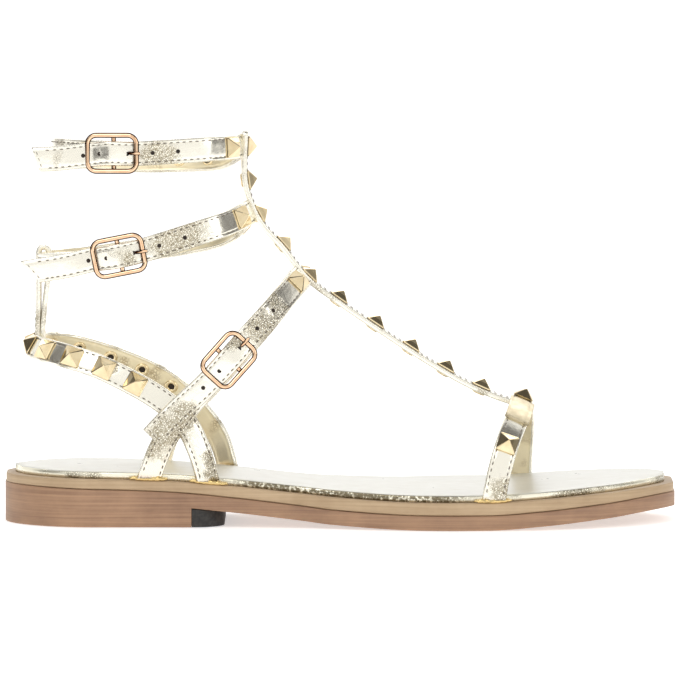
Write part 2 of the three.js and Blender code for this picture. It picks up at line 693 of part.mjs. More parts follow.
// Closed rounded rectangle of round wire, lying in X and Y
function ringWire(length, height, corner, radius) {
  const rings = [];
  const perCorner = 3;
  for (let quarter = 0; quarter < 4; quarter += 1) {
    const sx = quarter === 0 || quarter === 3 ? 1 : -1;
    const sy = quarter < 2 ? 1 : -1;
    for (let i = 0; i <= perCorner; i += 1) {
      const turn = (Math.PI / 2) * (quarter + i / perCorner);
      const dir = new THREE.Vector3(Math.cos(turn), Math.sin(turn), 0);
      const middle = new THREE.Vector3(sx * (length / 2 - corner), sy * (height / 2 - corner), 0);
      middle.addScaledVector(dir, corner - BUCKLE_WIRE / 2);
      const ring = [];
      for (let k = 0; k < BAR_SIDES; k += 1) {
        const spin = (2 * Math.PI * k) / BAR_SIDES;
        const point = middle.clone().addScaledVector(dir, radius * Math.cos(spin));
        ring.push(point.addScaledVector(UP, radius * Math.sin(spin)));
      }
      rings.push(ring);
    }
  }
  return loft(rings, true);
}

// Buckle: X points along the strap to its free end. Its frame lies over the strap, tipped by the layer that
// it rests on behind; its centre bar is cranked down and passes under the strap
const FRAME_FRONT = 2.3; // heights of the frame's two ends and of the centre bar over the strap's own line
const FRAME_BACK = 4.3;
const CENTRE_BAR = 1.05;
const CRANK = 0.75; // size of the bend where the centre bar leaves the frame
const BAR_THINNER = 0.93; // the centre bar's thickness as a share of the frame's
const frameTilt = Math.asin((FRAME_BACK - FRAME_FRONT) / (BUCKLE_LENGTH - BUCKLE_WIRE));
const frameMiddle = (FRAME_FRONT + FRAME_BACK) / 2;
function buckleFrame(spare = 0) {
  const radius = BUCKLE_WIRE / 2 + spare;
  const ring = ringWire(BUCKLE_LENGTH, BUCKLE_HEIGHT, BUCKLE_CORNER, radius);
  ring.rotateY(-frameTilt);
  ring.translate(0, 0, frameMiddle);
  const side = BUCKLE_HEIGHT / 2 - BUCKLE_WIRE / 2;
  const end = [
    [side, frameMiddle],
    [side - CRANK / 3, CENTRE_BAR + CRANK * 0.7],
    [side - CRANK * 4 / 3, CENTRE_BAR],
  ];
  const places = [...end.map(([y, z]) => [0, -y, z]), ...end.toReversed().map(([y, z]) => [0, y, z])];
  return toGeometry(join([ring, wire(places, radius * BAR_THINNER)]));
}
// Prong: from under the centre bar up through the hole and over the front of the frame
function prong(spare = 0) {
  const under = CENTRE_BAR - BUCKLE_WIRE / 2 - GAP - PRONG_WIRE / 2;
  const over = FRAME_FRONT + BUCKLE_WIRE / 2 + GAP + PRONG_WIRE / 2;
  const front = -(BUCKLE_LENGTH - BUCKLE_WIRE) / 2;
  const bend = PRONG_WIRE * 1.5;
  const places = [
    [PRONG_WIRE / 2, under],
    [-bend, under],
    [-PRONG_REACH + bend, under + PRONG_WIRE / 2],
    [-PRONG_REACH, STRAP_THICKNESS * 2 / 3],
    [front + bend, over - PRONG_WIRE * 2 / 3],
    [front, over],
    [front - bend, over - PRONG_WIRE / 4],
  ];
  return wire(places.map(([x, z]) => [x, 0, z]), PRONG_WIRE / 2 + spare);
}
// Flat station on the strap under a buckle: the line of its free part without the lift
const buckleSeat = (line, length) => seat(stationAt(line, length), -BUCKLE_LIFT * STRAP_THICKNESS);
const buckleSeats = {
  instep: buckleSeat(instepLine, lengthAt(instepLine, INSTEP_BUCKLE, 0.6, 1)),
  middle: buckleSeat(middleTongue, lengthAt(middleTongue, MIDDLE_ANKLE.buckle, 0.4, 0.9)),
  top: buckleSeat(topTongue, lengthAt(topTongue, TOP_ANKLE.buckle, 0.4, 0.9)),
};

// Upper: all straps as one piece, cut along the sole and round the buckles
function belowSoleTop() {
  const depth = HEEL_HEIGHT + LEG_SPARE;
  const reach = BALL_HALF * 1.5;
  const rings = soleStations(0, SOLE_LENGTH).map((x) => {
    const top = soleTop(x) + GAP;
    const corners = [[-1, -depth], [1, -depth], [1, top], [-1, top]];
    return corners.map(([side, z]) => new THREE.Vector3(x, side * reach, z));
  });
  return loft(rings);
}
function upper() {
  let body = join([
    strap(frontBarLine, BAR_WIDTH),
    strap(toeLine, BAR_WIDTH),
    strap(instepLine, STRAP_WIDTH),
    strap(buckleLine, STRAP_WIDTH),
    strap(heelLine, STRAP_WIDTH),
    strap(topLoop, STRAP_WIDTH),
    strap(topTongue, STRAP_WIDTH),
    strap(middleLoop, STRAP_WIDTH),
    strap(middleTongue, STRAP_WIDTH),
    ...backStay(),
  ]);
  body = body.subtract(toSolid(belowSoleTop()));
  for (const matrix of Object.values(buckleSeats)) {
    body = body.subtract(toSolid(buckleFrame(GAP).applyMatrix4(matrix)));
    body = body.subtract(toSolid(prong(GAP).applyMatrix4(matrix)));
  }
  return withoutSlivers(body);
}
// The insole has a shallow notch at each foot of a strap
function notchedInsole() {
  let body = toSolid(insole());
  for (const line of [toeLine, instepLine, buckleLine, heelLine]) {
    body = body.subtract(toSolid(strap(line, STRAP_WIDTH + 2 * GAP, STRAP_THICKNESS + 2 * GAP)));
  }
  return toGeometry(body);
}
add('insole', notchedInsole(), paleGold());
add('upper', upper(), paleGold());

for (const [name, matrix] of Object.entries(buckleSeats)) {
  addOn(`buckle_${name}`, buckleFrame(), gold(), matrix);
  addOn(`prong_${name}`, prong(), gold(), matrix);
}

// Studs: square pyramids on a low upright edge
function stud() {
  const half = STUD_SIDE / 2;
  const tip = 0.15;
  const levels = [[half, 0], [half, STUD_BEVEL], [tip, STUD_BEVEL + STUD_RISE]];
  return loft(levels.map(([h, z]) => [[-1, -1], [1, -1], [1, 1], [-1, 1]].map(([a, b]) =>
    new THREE.Vector3(a * h, b * h, z))));
}
function addStud(name, line, length) {
  const matrix = seat(stationAt(line, length), STRAP_THICKNESS / 2 + GAP);
  addOn(name, stud(), gold(), matrix);
}
// Studs of the front bar, as shares of its length
const BAR_STUDS = [0.035, 0.118, 0.207, 0.302, 0.402, 0.493, 0.6, 0.703, 0.802, 0.9];
const barLength = lengths(frontBarLine).at(-1);
BAR_STUDS.forEach((share, i) => addStud(`stud_bar_${i + 1}`, frontBarLine, share * barLength));
// Studs of the heel strap, either side of the back of the heel
const heelBack = lengthAtEnd(heelLine, -1);
for (const [side, way, count] of [['outer', -1, 5], ['inner', 1, 6]]) {
  for (let i = 0; i < count; i += 1) {
    addStud(`stud_heel_${side}_${i + 1}`, heelLine, heelBack + way * HEEL_STUD_PITCH * (i + 0.5));
  }
}

// Studs beside the front bar, on both sides of each ankle strap and of the instep strap
const BESIDE = BAR_WIDTH / 2 + STUD_SIDE / 2 + STUD_SPARE;
addStud('stud_top_inner_1', topLoop, BESIDE);
addStud('stud_top_inner_2', topLoop, BESIDE + STUD_PITCH);
addStud('stud_top_inner_3', topLoop, BESIDE + 2 * STUD_PITCH);
addStud('stud_top_outer', topTongue, BESIDE);
addStud('stud_middle_inner', middleLoop, BESIDE);
addStud('stud_middle_outer', middleTongue, BESIDE);
const instepCrest = lengthAtEnd(instepLine, 1);
addStud('stud_instep_inner', instepLine, instepCrest - BESIDE);
addStud('stud_instep_outer', instepLine, instepCrest + BESIDE);
// Toe strap: a stud on its crest, one on each side, and a plain plate on the outer side
const toeLength = lengths(toeLine).at(-1);
const toeStud = { outer: 0.196, crest: 0.5, inner: 0.775 }; // shares of the strap's length
for (const [name, share] of Object.entries(toeStud)) {
  addStud(`stud_toe_${name}`, toeLine, share * toeLength);
}
const PLATE_MIDDLE = 0.36; // also a share of it
function toePlate() {
  const stations = [];
  const steps = 6;
  for (let i = 0; i <= steps; i += 1) {
    const station = stationAt(toeLine, PLATE_MIDDLE * toeLength + PLATE_LENGTH * (i / steps - 0.5));
    station.point.addScaledVector(station.out, STRAP_THICKNESS / 2 + GAP + PLATE_THICKNESS / 2);
    stations.push(station);
  }
  return strap(stations, BAR_WIDTH, PLATE_THICKNESS, PLATE_THICKNESS / 4);
}
add('toe_plate', toePlate(), gold());

// The origin lies under the middle of the sole's box
const soleEdges = soleStations(0, SOLE_LENGTH);
const outerMost = Math.min(...soleEdges.map((x) => edgeY(x, -1)));
const innerMost = Math.max(...soleEdges.map((x) => edgeY(x, 1)));
group.position.set(-SOLE_LENGTH / 2, -(outerMost + innerMost) / 2, 0);

export default group;
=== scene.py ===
"""Gladiator sandal for the right foot: metallic leather straps, pyramid studs, buckles and a tan stacked sole.

Sizes are millimetres, measured from the back of the heel (X), from the middle of the heel (Y, to the inner
side of the foot) and from the floor (Z). The function to_frame turns them into metres of the shared frame.
"""

import logging
import math
from dataclasses import dataclass, field
from enum import IntEnum
from functools import cache, reduce

import bmesh
import bpy
import numpy as np
from mathutils import Matrix, Vector


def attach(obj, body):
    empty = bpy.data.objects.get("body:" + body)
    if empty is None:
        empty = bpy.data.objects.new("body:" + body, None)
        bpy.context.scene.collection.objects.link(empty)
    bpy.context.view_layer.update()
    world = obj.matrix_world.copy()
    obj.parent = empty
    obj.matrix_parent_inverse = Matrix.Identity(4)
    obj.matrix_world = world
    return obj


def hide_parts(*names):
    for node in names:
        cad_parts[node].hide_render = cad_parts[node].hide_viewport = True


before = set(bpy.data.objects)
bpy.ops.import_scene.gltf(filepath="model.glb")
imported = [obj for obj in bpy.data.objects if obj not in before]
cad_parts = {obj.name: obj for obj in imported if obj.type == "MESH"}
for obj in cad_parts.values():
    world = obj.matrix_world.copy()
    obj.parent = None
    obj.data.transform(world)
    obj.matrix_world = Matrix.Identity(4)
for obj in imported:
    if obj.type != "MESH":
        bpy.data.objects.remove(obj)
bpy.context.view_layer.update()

LOG = logging.getLogger("sandal")
MM = 0.001
BODY = "root"
Array = np.ndarray
Row = dict[str, float]
Mesh = tuple[Array, list | Array]
Socket = bpy.types.NodeSocket
Material = bpy.types.Material
Colour = tuple[float, float, float]


class Side(IntEnum):
    """The two long sides of the shoe, as the sign of Y."""

    OUTER = -1
    INNER = 1


# Sizes and tables of the shoe


def unit(values: Array) -> Array:
    """Rows scaled to a length of one."""
    return values / np.linalg.norm(values, axis=-1, keepdims=True)


@dataclass(frozen=True)
class Last:
    """Plan and side view of the sole, from its driving sizes and two tables of shares."""

    length: float = 250.0
    ball_half: float = 44.5
    heel_height: float = 17.8
    toe_spring: float = 5.6
    outsole: float = 5.4
    midsole: float = 4.8
    step: float = 0.5
    heel_flat: float = 3.0
    toe_flat: float = 10.0
    toe_square: float = 2.3
    heel_round: float = 32.5
    toe_round: float = 55.0
    tread: tuple[float, float] = (0.62, 0.72)
    toe_thinning: float = 0.3
    plan: tuple = (
        (0, 0, 0.69), (0.14, 0, 0.72), (0.26, -0.03, 0.69), (0.42, -0.09, 0.67), (0.55, -0.08, 0.85),
        (0.68, -0.03, 1), (0.78, 0.02, 0.99), (0.9, 0.1, 0.93), (1, 0.14, 0.86),
    )
    side: tuple = (
        (0, 1.04, 0, 0.7), (0.14, 1, 0, 0.81), (0.24, 0.91, 0, 0.84), (0.35, 0.64, 0, 0.9),
        (0.44, 0.33, 0, 0.95), (0.49, 0.18, 0, 1), (0.62, 0, 0, 1), (0.72, 0, 0, 1), (0.8, 0, 0.24, 0.95),
        (0.89, 0, 0.6, 0.85), (1, 0, 1, 0.7),
    )

    def middle_y(self, x: Array) -> Array:
        """Middle line of the sole: the plan table's second column, smooth between its rows."""
        return self.ball_half * smooth_column(self.plan, 1, x / self.length)

    def half_y(self, x: Array) -> Array:
        """Half width of the sole: the plan table's third column times the share left at the round ends."""
        half = self.ball_half * smooth_column(self.plan, 2, x / self.length)
        tip = np.sqrt(1 - (self.heel_flat / half) ** 2)
        heel = np.clip((self.heel_round - x) / self.heel_round, 0, 1)
        share = np.sqrt(1 - (tip * heel) ** 2)
        power = self.toe_square
        tip = (1 - (self.toe_flat / half) ** power) ** (1 / power)
        toe = np.clip((x - (self.length - self.toe_round)) / self.toe_round, 0, 1)
        return half * share * (1 - (tip * toe) ** power) ** (1 / power)

    def edge_y(self, x: Array, side: Side) -> Array:
        """Edge of the sole on one side: the middle line plus or minus the half width."""
        return self.middle_y(x) + side * self.half_y(x)

    def top(self, x: Array) -> Array:
        """Height of the midsole's top: the forefoot's height plus the rises of heel and toe."""
        at = x / self.length
        forefoot = self.outsole + self.midsole
        heel = (self.heel_height - forefoot) * smooth_column(self.side, 1, at)
        toe = self.toe_spring - self.midsole * self.toe_thinning
        return forefoot + heel + toe * smooth_column(self.side, 2, at)

    def joint(self, x: Array) -> Array:
        """Height of the joint between midsole and outsole: the top less the midsole's thickness."""
        return self.top(x) - self.midsole * smooth_column(self.side, 3, x / self.length)

    def bottom(self, x: Array) -> Array:
        """Underside: the joint less the outsole's thickness, never under the floor, and level at the tread."""
        under = np.maximum(self.joint(x) - self.outsole, 0)
        at = x / self.length
        return np.where((at >= self.tread[0]) & (at <= self.tread[1]), 0.0, under)

    def shift(self) -> Array:
        """Move from the heel's own zero to the middle of the sole's box."""
        x = np.linspace(0, self.length, 2001)
        low, high = self.edge_y(x, Side.OUTER).min(), self.edge_y(x, Side.INNER).max()
        return np.array([-self.length / 2, -(low + high) / 2, 0.0])


def smooth_column(rows: tuple, key: int, at: Array) -> Array:
    """Reads one column of a table by a monotone cubic through its rows.

    Args:
        rows: Rows whose first value is the station.
        key: Index of the column.
        at: Stations to read.

    Returns:
        Values: Hermite cubics whose slope at a row is the harmonic mean of the chords beside it.
    """
    table = np.array(rows, dtype=float)
    xs, ys = table[:, 0], table[:, key]
    at = np.clip(np.asarray(at, dtype=float), xs[0], xs[-1])
    chord = np.diff(ys) / np.diff(xs)
    slope = np.zeros(len(xs))
    same = chord[:-1] * chord[1:] > 0
    total = np.where(same, chord[:-1] + chord[1:], 1)
    slope[1:-1] = np.where(same, 2 * chord[:-1] * chord[1:] / total, 0)
    i = np.clip(np.searchsorted(xs, at, side="left") - 1, 0, len(xs) - 2)
    span = xs[i + 1] - xs[i]
    t = (at - xs[i]) / span
    ease = t * t * (3 - 2 * t)
    bend = span * t * (1 - t) * ((1 - t) * slope[i] - t * slope[i + 1])
    return ys[i] * (1 - ease) + ys[i + 1] * ease + bend


LAST = Last()
SHIFT = LAST.shift()
ANKLE_HEIGHT = 141.0
STRAP_WIDTH = 9.3
BAR_WIDTH = 9.0
STRAP_THICKNESS = 2.1
LEDGE_SPARE = 0.25
LEG_SPARE = 4.0
GAP = 0.3
EDGE_TURNS = 5


def to_frame(points: Array) -> Array:
    """Millimetres of the shoe to metres of the frame: moved by the shift, then scaled."""
    return (points + SHIFT) * MM


@dataclass
class Line:
    """Middle line of a strap: places, tangents and outward normals at even parameters."""

    point: Array
    tangent: Array
    out: Array

    @property
    def across(self) -> Array:
        """Direction of the strap's width: tangent cross outward normal."""
        return unit(np.cross(self.tangent, self.out))

    @property
    def lengths(self) -> Array:
        """Length from the start to each station: running sum of the steps."""
        steps = np.linalg.norm(np.diff(self.point, axis=0), axis=1)
        return np.concatenate([[0.0], np.cumsum(steps)])

    def at(self, length: Array) -> "Line":
        """Stations at given lengths, linear between the kept ones."""
        sums = self.lengths
        point, tangent, out = (
            np.stack([np.interp(length, sums, column) for column in values.T], axis=1)
            for values in (self.point, self.tangent, self.out)
        )
        return Line(point, unit(tangent), unit(out))

    def length_at(self, along: float, low: float = 0.4, high: float = 0.9) -> float:
        """Length where the line crosses a share of the sole's length, within shares of the line."""
        sums = self.lengths
        off = self.point[:, 0] - along * LAST.length
        inside = (sums[:-1] >= low * sums[-1]) & (sums[:-1] <= high * sums[-1])
        i = int(np.flatnonzero(inside & (off[:-1] * off[1:] <= 0))[0])
        return float(sums[i] + (sums[i + 1] - sums[i]) * off[i] / (off[i] - off[i + 1]))

    def length_at_end(self, way: int) -> float:
        """Length where the line is farthest to the heel (-1) or to the toe (1)."""
        return float(self.lengths[int(np.argmax(way * self.point[:, 0]))])


def catmull(places: Array, t: Array) -> tuple[Array, Array]:
    """Uniform Catmull-Rom curve through places.

    Args:
        places: Control places, one row each.
        t: Parameters from 0 to 1.

    Returns:
        Places and unit tangents: each span is the cubic whose end slopes are half the chord over its
        neighbours, with the end rows mirrored.
    """
    first, last = 2 * places[0] - places[1], 2 * places[-1] - places[-2]
    rows = np.vstack([first, places, last])
    seat = np.asarray(t) * (len(places) - 1)
    i = np.minimum(seat.astype(int), len(places) - 2)
    w = (seat - i)[:, None]
    p0, p1, p2, p3 = rows[i], rows[i + 1], rows[i + 2], rows[i + 3]
    s1, s2 = (p2 - p0) / 2, (p3 - p1) / 2
    c2, c3 = -3 * p1 + 3 * p2 - 2 * s1 - s2, 2 * p1 - 2 * p2 + s1 + s2
    point = p1 + s1 * w + c2 * w**2 + c3 * w**3
    slope = s1 + 2 * c2 * w + 3 * c3 * w**2
    return point, unit(slope)


def ledge(x: float, side: Side) -> float:
    """Y of a strap's foot on the ledge beside the insole: the sole's edge less step, spare and half strap."""
    return float(LAST.edge_y(np.array(x), side)) - side * (LAST.step + LEDGE_SPARE + STRAP_THICKNESS / 2)


def route(rows: list[Row], centre: tuple[float, float, float], steps: int) -> Line:
    """Line of a strap through a short table.

    Args:
        rows: along, across and height as shares of the sole's length, half the ball and the ankle's height;
            side instead of across and height for a foot on the ledge; lift in layers off the line.
        centre: Middle of the foot under the strap, in the same shares.
        steps: Stations less one.

    Returns:
        The line, whose outward normals point away from the centre, square to the tangent.
    """
    scale = np.array([LAST.length, LAST.ball_half, ANKLE_HEIGHT])
    places = []
    for row in rows:
        x = row["along"] * LAST.length
        if "side" in row:
            places.append([x, ledge(x, row["side"]), float(LAST.top(np.array(x))) - LEG_SPARE])
        else:
            places.append(list(scale * [row["along"], row["across"], row["height"]]))
    t = np.linspace(0, 1, steps + 1)
    point, tangent = catmull(np.array(places), t)
    out = point - scale * np.array(centre)
    out = unit(out - np.sum(out * tangent, axis=1, keepdims=True) * tangent)
    seat = t * (len(rows) - 1)
    i = np.minimum(seat.astype(int), len(rows) - 2)
    w = seat - i
    lifts = np.array([row.get("lift", 0.0) for row in rows])
    lift = lifts[i] + (lifts[i + 1] - lifts[i]) * w * w * (3 - 2 * w)
    return Line(point + out * lift[:, None] * STRAP_THICKNESS, tangent, out)


def rows_of(names: str, values: list[tuple]) -> list[Row]:
    """Rows of a table from its column names and its values; None leaves a column out of a row."""
    keys = names.split()
    return [{k: v for k, v in zip(keys, row) if v is not None} for row in values]


INSTEP_CENTRE = (0.28, 0.0, 0.355)
LOW_CENTRE = (0.2, 0.0, 0.3)
TOE_CENTRE = (0.72, 0.0, 0.1)
FRONT_BAR = rows_of("along across height", [
    (0.359, 0, 1.03), (0.358, 0, 0.91), (0.37, 0, 0.83), (0.388, 0, 0.775), (0.416, 0, 0.72),
    (0.452, 0, 0.64), (0.5, 0, 0.576), (0.56, 0, 0.503), (0.62, 0, 0.433), (0.68, 0, 0.37),
    (0.725, 0, 0.333), (0.767, 0, 0.307),
])
TOE_STRAP = rows_of("along across height side", [
    (0.724, None, None, Side.OUTER), (0.733, -0.98, 0.14), (0.748, -0.87, 0.23), (0.764, -0.56, 0.29),
    (0.773, 0, 0.32), (0.777, 0.5, 0.284), (0.776, 0.84, 0.2), (0.772, None, None, Side.INNER),
])
INSTEP_STRAP = rows_of("along across height side lift", [
    (0.222, None, None, Side.INNER), (0.24, 0.72, 0.205), (0.275, 0.74, 0.285), (0.335, 0.72, 0.4),
    (0.396, 0.6, 0.53), (0.437, 0.3, 0.63), (0.4435, 0, 0.6465), (0.4375, -0.25, 0.6375),
    (0.402, -0.6, 0.571), (0.366, -0.73, 0.503, None, 0.3), (0.336, -0.757, 0.4455, None, 1.6),
    (0.3, -0.78, 0.376, None, 1.1), (0.26, -0.79, 0.31, None, 1), (0.222, -0.79, 0.24, None, 1),
])
BUCKLE_STRAP = rows_of("along across height side", [
    (0.21, None, None, Side.OUTER), (0.236, -0.74, 0.215), (0.272, -0.79, 0.31), (0.298, -0.785, 0.366),
    (0.324, -0.765, 0.42),
])
HEEL_STRAP = rows_of("along across height side", [
    (0.31, None, None, Side.OUTER), (0.292, -0.715, 0.2), (0.268, -0.73, 0.285), (0.232, -0.72, 0.34),
    (0.19, -0.7, 0.383), (0.14, -0.65, 0.424), (0.09, -0.53, 0.449), (0.052, -0.3, 0.461), (0.041, 0, 0.466),
    (0.052, 0.3, 0.463), (0.09, 0.52, 0.453), (0.14, 0.61, 0.428), (0.204, 0.66, 0.383), (0.25, 0.69, 0.333),
    (0.29, 0.71, 0.262), (0.318, 0.71, 0.19), (0.336, None, None, Side.INNER),
])


@dataclass(frozen=True)
class AnkleLoop:
    """Ankle strap: half axes of its loop, its middle, the height round the leg, its buckle and free end."""

    middle: float
    half_long: float
    half_wide: float
    heights: tuple
    buckle: float
    free_end: tuple
    start: float = 6.0

    def row(self, turn: float, lift: float = 0.0) -> Row:
        """Row of the loop at a turn in degrees, from the front over the inner side: an ellipse in plan."""
        angle = math.radians(turn)
        height = float(smooth_column(self.heights, 1, np.array(turn)))
        return {
            "along": self.middle + self.half_long * math.cos(angle),
            "across": self.half_wide * math.sin(angle),
            "height": height,
            "lift": lift,
        }

    def buckle_turn(self) -> float:
        """Turn of the buckle on the outer side of the loop."""
        return 360 - math.degrees(math.acos((self.buckle - self.middle) / self.half_long))

    def loop_line(self, steps: int) -> Line:
        """Line from the front bar over the inner side and the back to the buckle."""
        turns = np.linspace(self.start, self.buckle_turn() - 3, 25)
        centre = (self.middle, 0.0, self.heights[0][1])
        return route([self.row(float(turn)) for turn in turns], centre, steps)

    def tongue_line(self, steps: int) -> Line:
        """Line from the front bar over the outer side, through the buckle to the free end."""
        turn = self.buckle_turn()
        rows = [self.row(a) for a in (360 - self.start, 340, 322, 304)]
        rows += [self.row(turn + 16, 0.1), self.row(turn, 1.6)]
        rows += rows_of("along across height lift", self.free_end)
        return route(rows, (self.middle, 0.0, self.heights[6][1]), steps)


TOP_ANKLE = AnkleLoop(
    0.2135, 0.1387, 0.61,
    ((0, 0.993), (45, 0.95), (90, 0.942), (135, 0.955), (180, 0.98), (225, 0.983), (270, 0.981), (315, 0.991),
     (360, 0.993)),
    0.163, ((0.131, -0.54, 0.976, 1.1), (0.09, -0.56, 0.969, 1), (0.05, -0.555, 0.966, 1)),
)
MIDDLE_ANKLE = AnkleLoop(
    0.2125, 0.1545, 0.64,
    ((0, 0.82), (45, 0.745), (90, 0.705), (135, 0.682), (180, 0.68), (225, 0.69), (270, 0.73), (315, 0.788),
     (360, 0.82)),
    0.173, ((0.138, -0.59, 0.704, 1.1), (0.1, -0.605, 0.689, 1), (0.042, -0.59, 0.672, 1)),
)

# Strap of each buckle, share of the sole's length at its centre bar, share of the strap from which it is
# looked for, and how far before and after it the holes are punched
BUCKLED = {
    "top": ("top_tongue", TOP_ANKLE.buckle, 0.4, (-24.5, -15, -5.8, 4.6, 11.2)),
    "middle": ("middle_tongue", MIDDLE_ANKLE.buckle, 0.4, (-25.5, -15.5, -5.8, 4.6, 11.8)),
    "instep": ("instep", 0.336, 0.6, (-25.5, -16, -5.8, 5.4, 14)),
}


# Meshes


def place_object(name: str, data: bpy.types.ID) -> bpy.types.Object:
    """Puts a mesh, a camera or a light into the scene."""
    obj = bpy.data.objects.new(name, data)
    bpy.context.scene.collection.objects.link(obj)
    return obj


def make_object(name: str, verts: Array, faces: list | Array, material: Material, slot: str,
                smooth: bool = True) -> bpy.types.Object:
    """Makes a piece from vertices in shoe millimetres.

    Args:
        name: Name of the piece.
        verts: Vertices, one row each.
        faces: Faces as an array of equal rows or a list of rows.
        material: Its finish.
        slot: Material slot of the record that it belongs to; not used.
        smooth: Whether its faces are smooth shaded.

    Returns:
        The object, at the origin, riding on the body.
    """
    mesh = bpy.data.meshes.new(name)
    mesh.from_pydata(to_frame(verts).tolist(), [], [list(map(int, face)) for face in faces])
    mesh.validate()
    mesh.polygons.foreach_set("use_smooth", np.full(len(mesh.polygons), smooth))
    obj = place_object(name, mesh)
    mesh.materials.append(material)
    turn_outward(mesh)
    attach(obj, BODY)
    return obj


def turn_outward(mesh: bpy.types.Mesh) -> None:
    """Makes the faces of closed shells point out."""
    work = bmesh.new()
    work.from_mesh(mesh)
    bmesh.ops.recalc_face_normals(work, faces=work.faces)
    work.to_mesh(mesh)
    work.free()


def grid_faces(rings: int, count: int, closed: bool = False) -> Array:
    """Quads of a lofted tube: point j of ring i joins its neighbours, the last ring to the first if closed."""
    i = np.arange(rings if closed else rings - 1)[:, None]
    j = np.arange(count)[None, :]
    k, n = (j + 1) % count, (i + 1) % rings
    return np.stack([i * count + j, i * count + k, n * count + k, n * count + j], axis=-1).reshape(-1, 4)


def loft(rings: Array, closed: bool = False) -> Mesh:
    """Closed body through rings of points.

    Args:
        rings: Array of rings by points by three.
        closed: Joins the last ring to the first instead of capping both.

    Returns:
        Vertices and faces, quads along the sides and one fan of triangles at each end.
    """
    n, m = rings.shape[:2]
    faces = grid_faces(n, m, closed).tolist()
    verts = rings.reshape(-1, 3)
    if not closed:
        for start, ring in ((0, rings[0]), ((n - 1) * m, rings[-1])):
            hub = len(verts)
            verts = np.vstack([verts, ring.mean(axis=0)])
            faces += [[start + j, start + (j + 1) % m, hub] for j in range(m)]
    return verts, faces


def copies(verts: Array, faces: Array, line: Line, rise: float = 0.0) -> Mesh:
    """Places one small shape at every station of a line.

    Args:
        verts: The shape, X along the line, Y across it, Z out of it.
        faces: Its faces, all with equally many corners.
        line: The stations.
        rise: Height over the line.

    Returns:
        All vertices and faces: each copy is place + x tangent + y across + (z + rise) out.
    """
    across = unit(np.cross(line.out, line.tangent))
    ahead = np.cross(across, line.out)
    placed = (
        line.point[:, None]
        + verts[None, :, 0:1] * ahead[:, None]
        + verts[None, :, 1:2] * across[:, None]
        + (verts[None, :, 2:3] + rise) * line.out[:, None]
    )
    offset = np.arange(len(line.point))[:, None, None] * len(verts)
    return placed.reshape(-1, 3), (faces[None] + offset).reshape(-1, faces.shape[1])


def merge(parts: list[Mesh]) -> Mesh:
    """One list of vertices and faces from several: each part's indices move up by the vertices before it."""
    verts, faces, start = [], [], 0
    for points, polys in parts:
        verts.append(points)
        faces += [[int(v) + start for v in face] for face in polys]
        start += len(points)
    return np.vstack(verts), faces


def bead(length: float, width: float, height: float) -> Mesh:
    """Half-sunk bead of thread: a six-sided tube that narrows at its two ends, in three rings.

    Args:
        length: Size along the seam.
        width: Size across it.
        height: Size out of the leather.

    Returns:
        Vertices and quads.
    """
    x = np.array([-0.5, -0.22, 0.22, 0.5]) * length
    swell = np.array([0.35, 1.0, 1.0, 0.35])
    turn = np.arange(6) * (np.pi / 3)
    ring = np.stack([np.cos(turn) * width / 2, np.sin(turn) * height / 2], axis=1)
    verts = np.zeros((4, 6, 3))
    verts[:, :, 0] = x[:, None]
    verts[:, :, 1:] = ring[None] * swell[:, None, None]
    faces = grid_faces(4, 6).tolist()
    faces += [[0, 1, 2, 3], [0, 3, 4, 5], [18, 21, 20, 19], [18, 23, 22, 21]]
    return verts.reshape(-1, 3), np.array(faces)


def turned(rims: tuple, sides: int) -> Mesh:
    """Ring-shaped body: circles of given radius and height, the last one joined to the first."""
    turn = np.arange(sides) * (2 * np.pi / sides)
    circle = np.stack([np.cos(turn), np.sin(turn)], axis=1)
    rings = np.vstack([np.column_stack([circle * radius, np.full(sides, z)]) for radius, z in rims])
    return rings, grid_faces(len(rims), sides, closed=True)


def disc(radius: float, sides: int = 16) -> Mesh:
    """Punched hole: a low dark lens of painted shade, flat and a little over the leather, sunk at its rim.

    Args:
        radius: Radius of the hole.
        sides: Sides of the ring.

    Returns:
        Vertices and quads, closed below.
    """
    return turned(((0.02, -0.5), (radius, -0.5), (radius, 0.0), (radius * 0.9, 0.06), (0.02, 0.03)), sides)


# Finishes


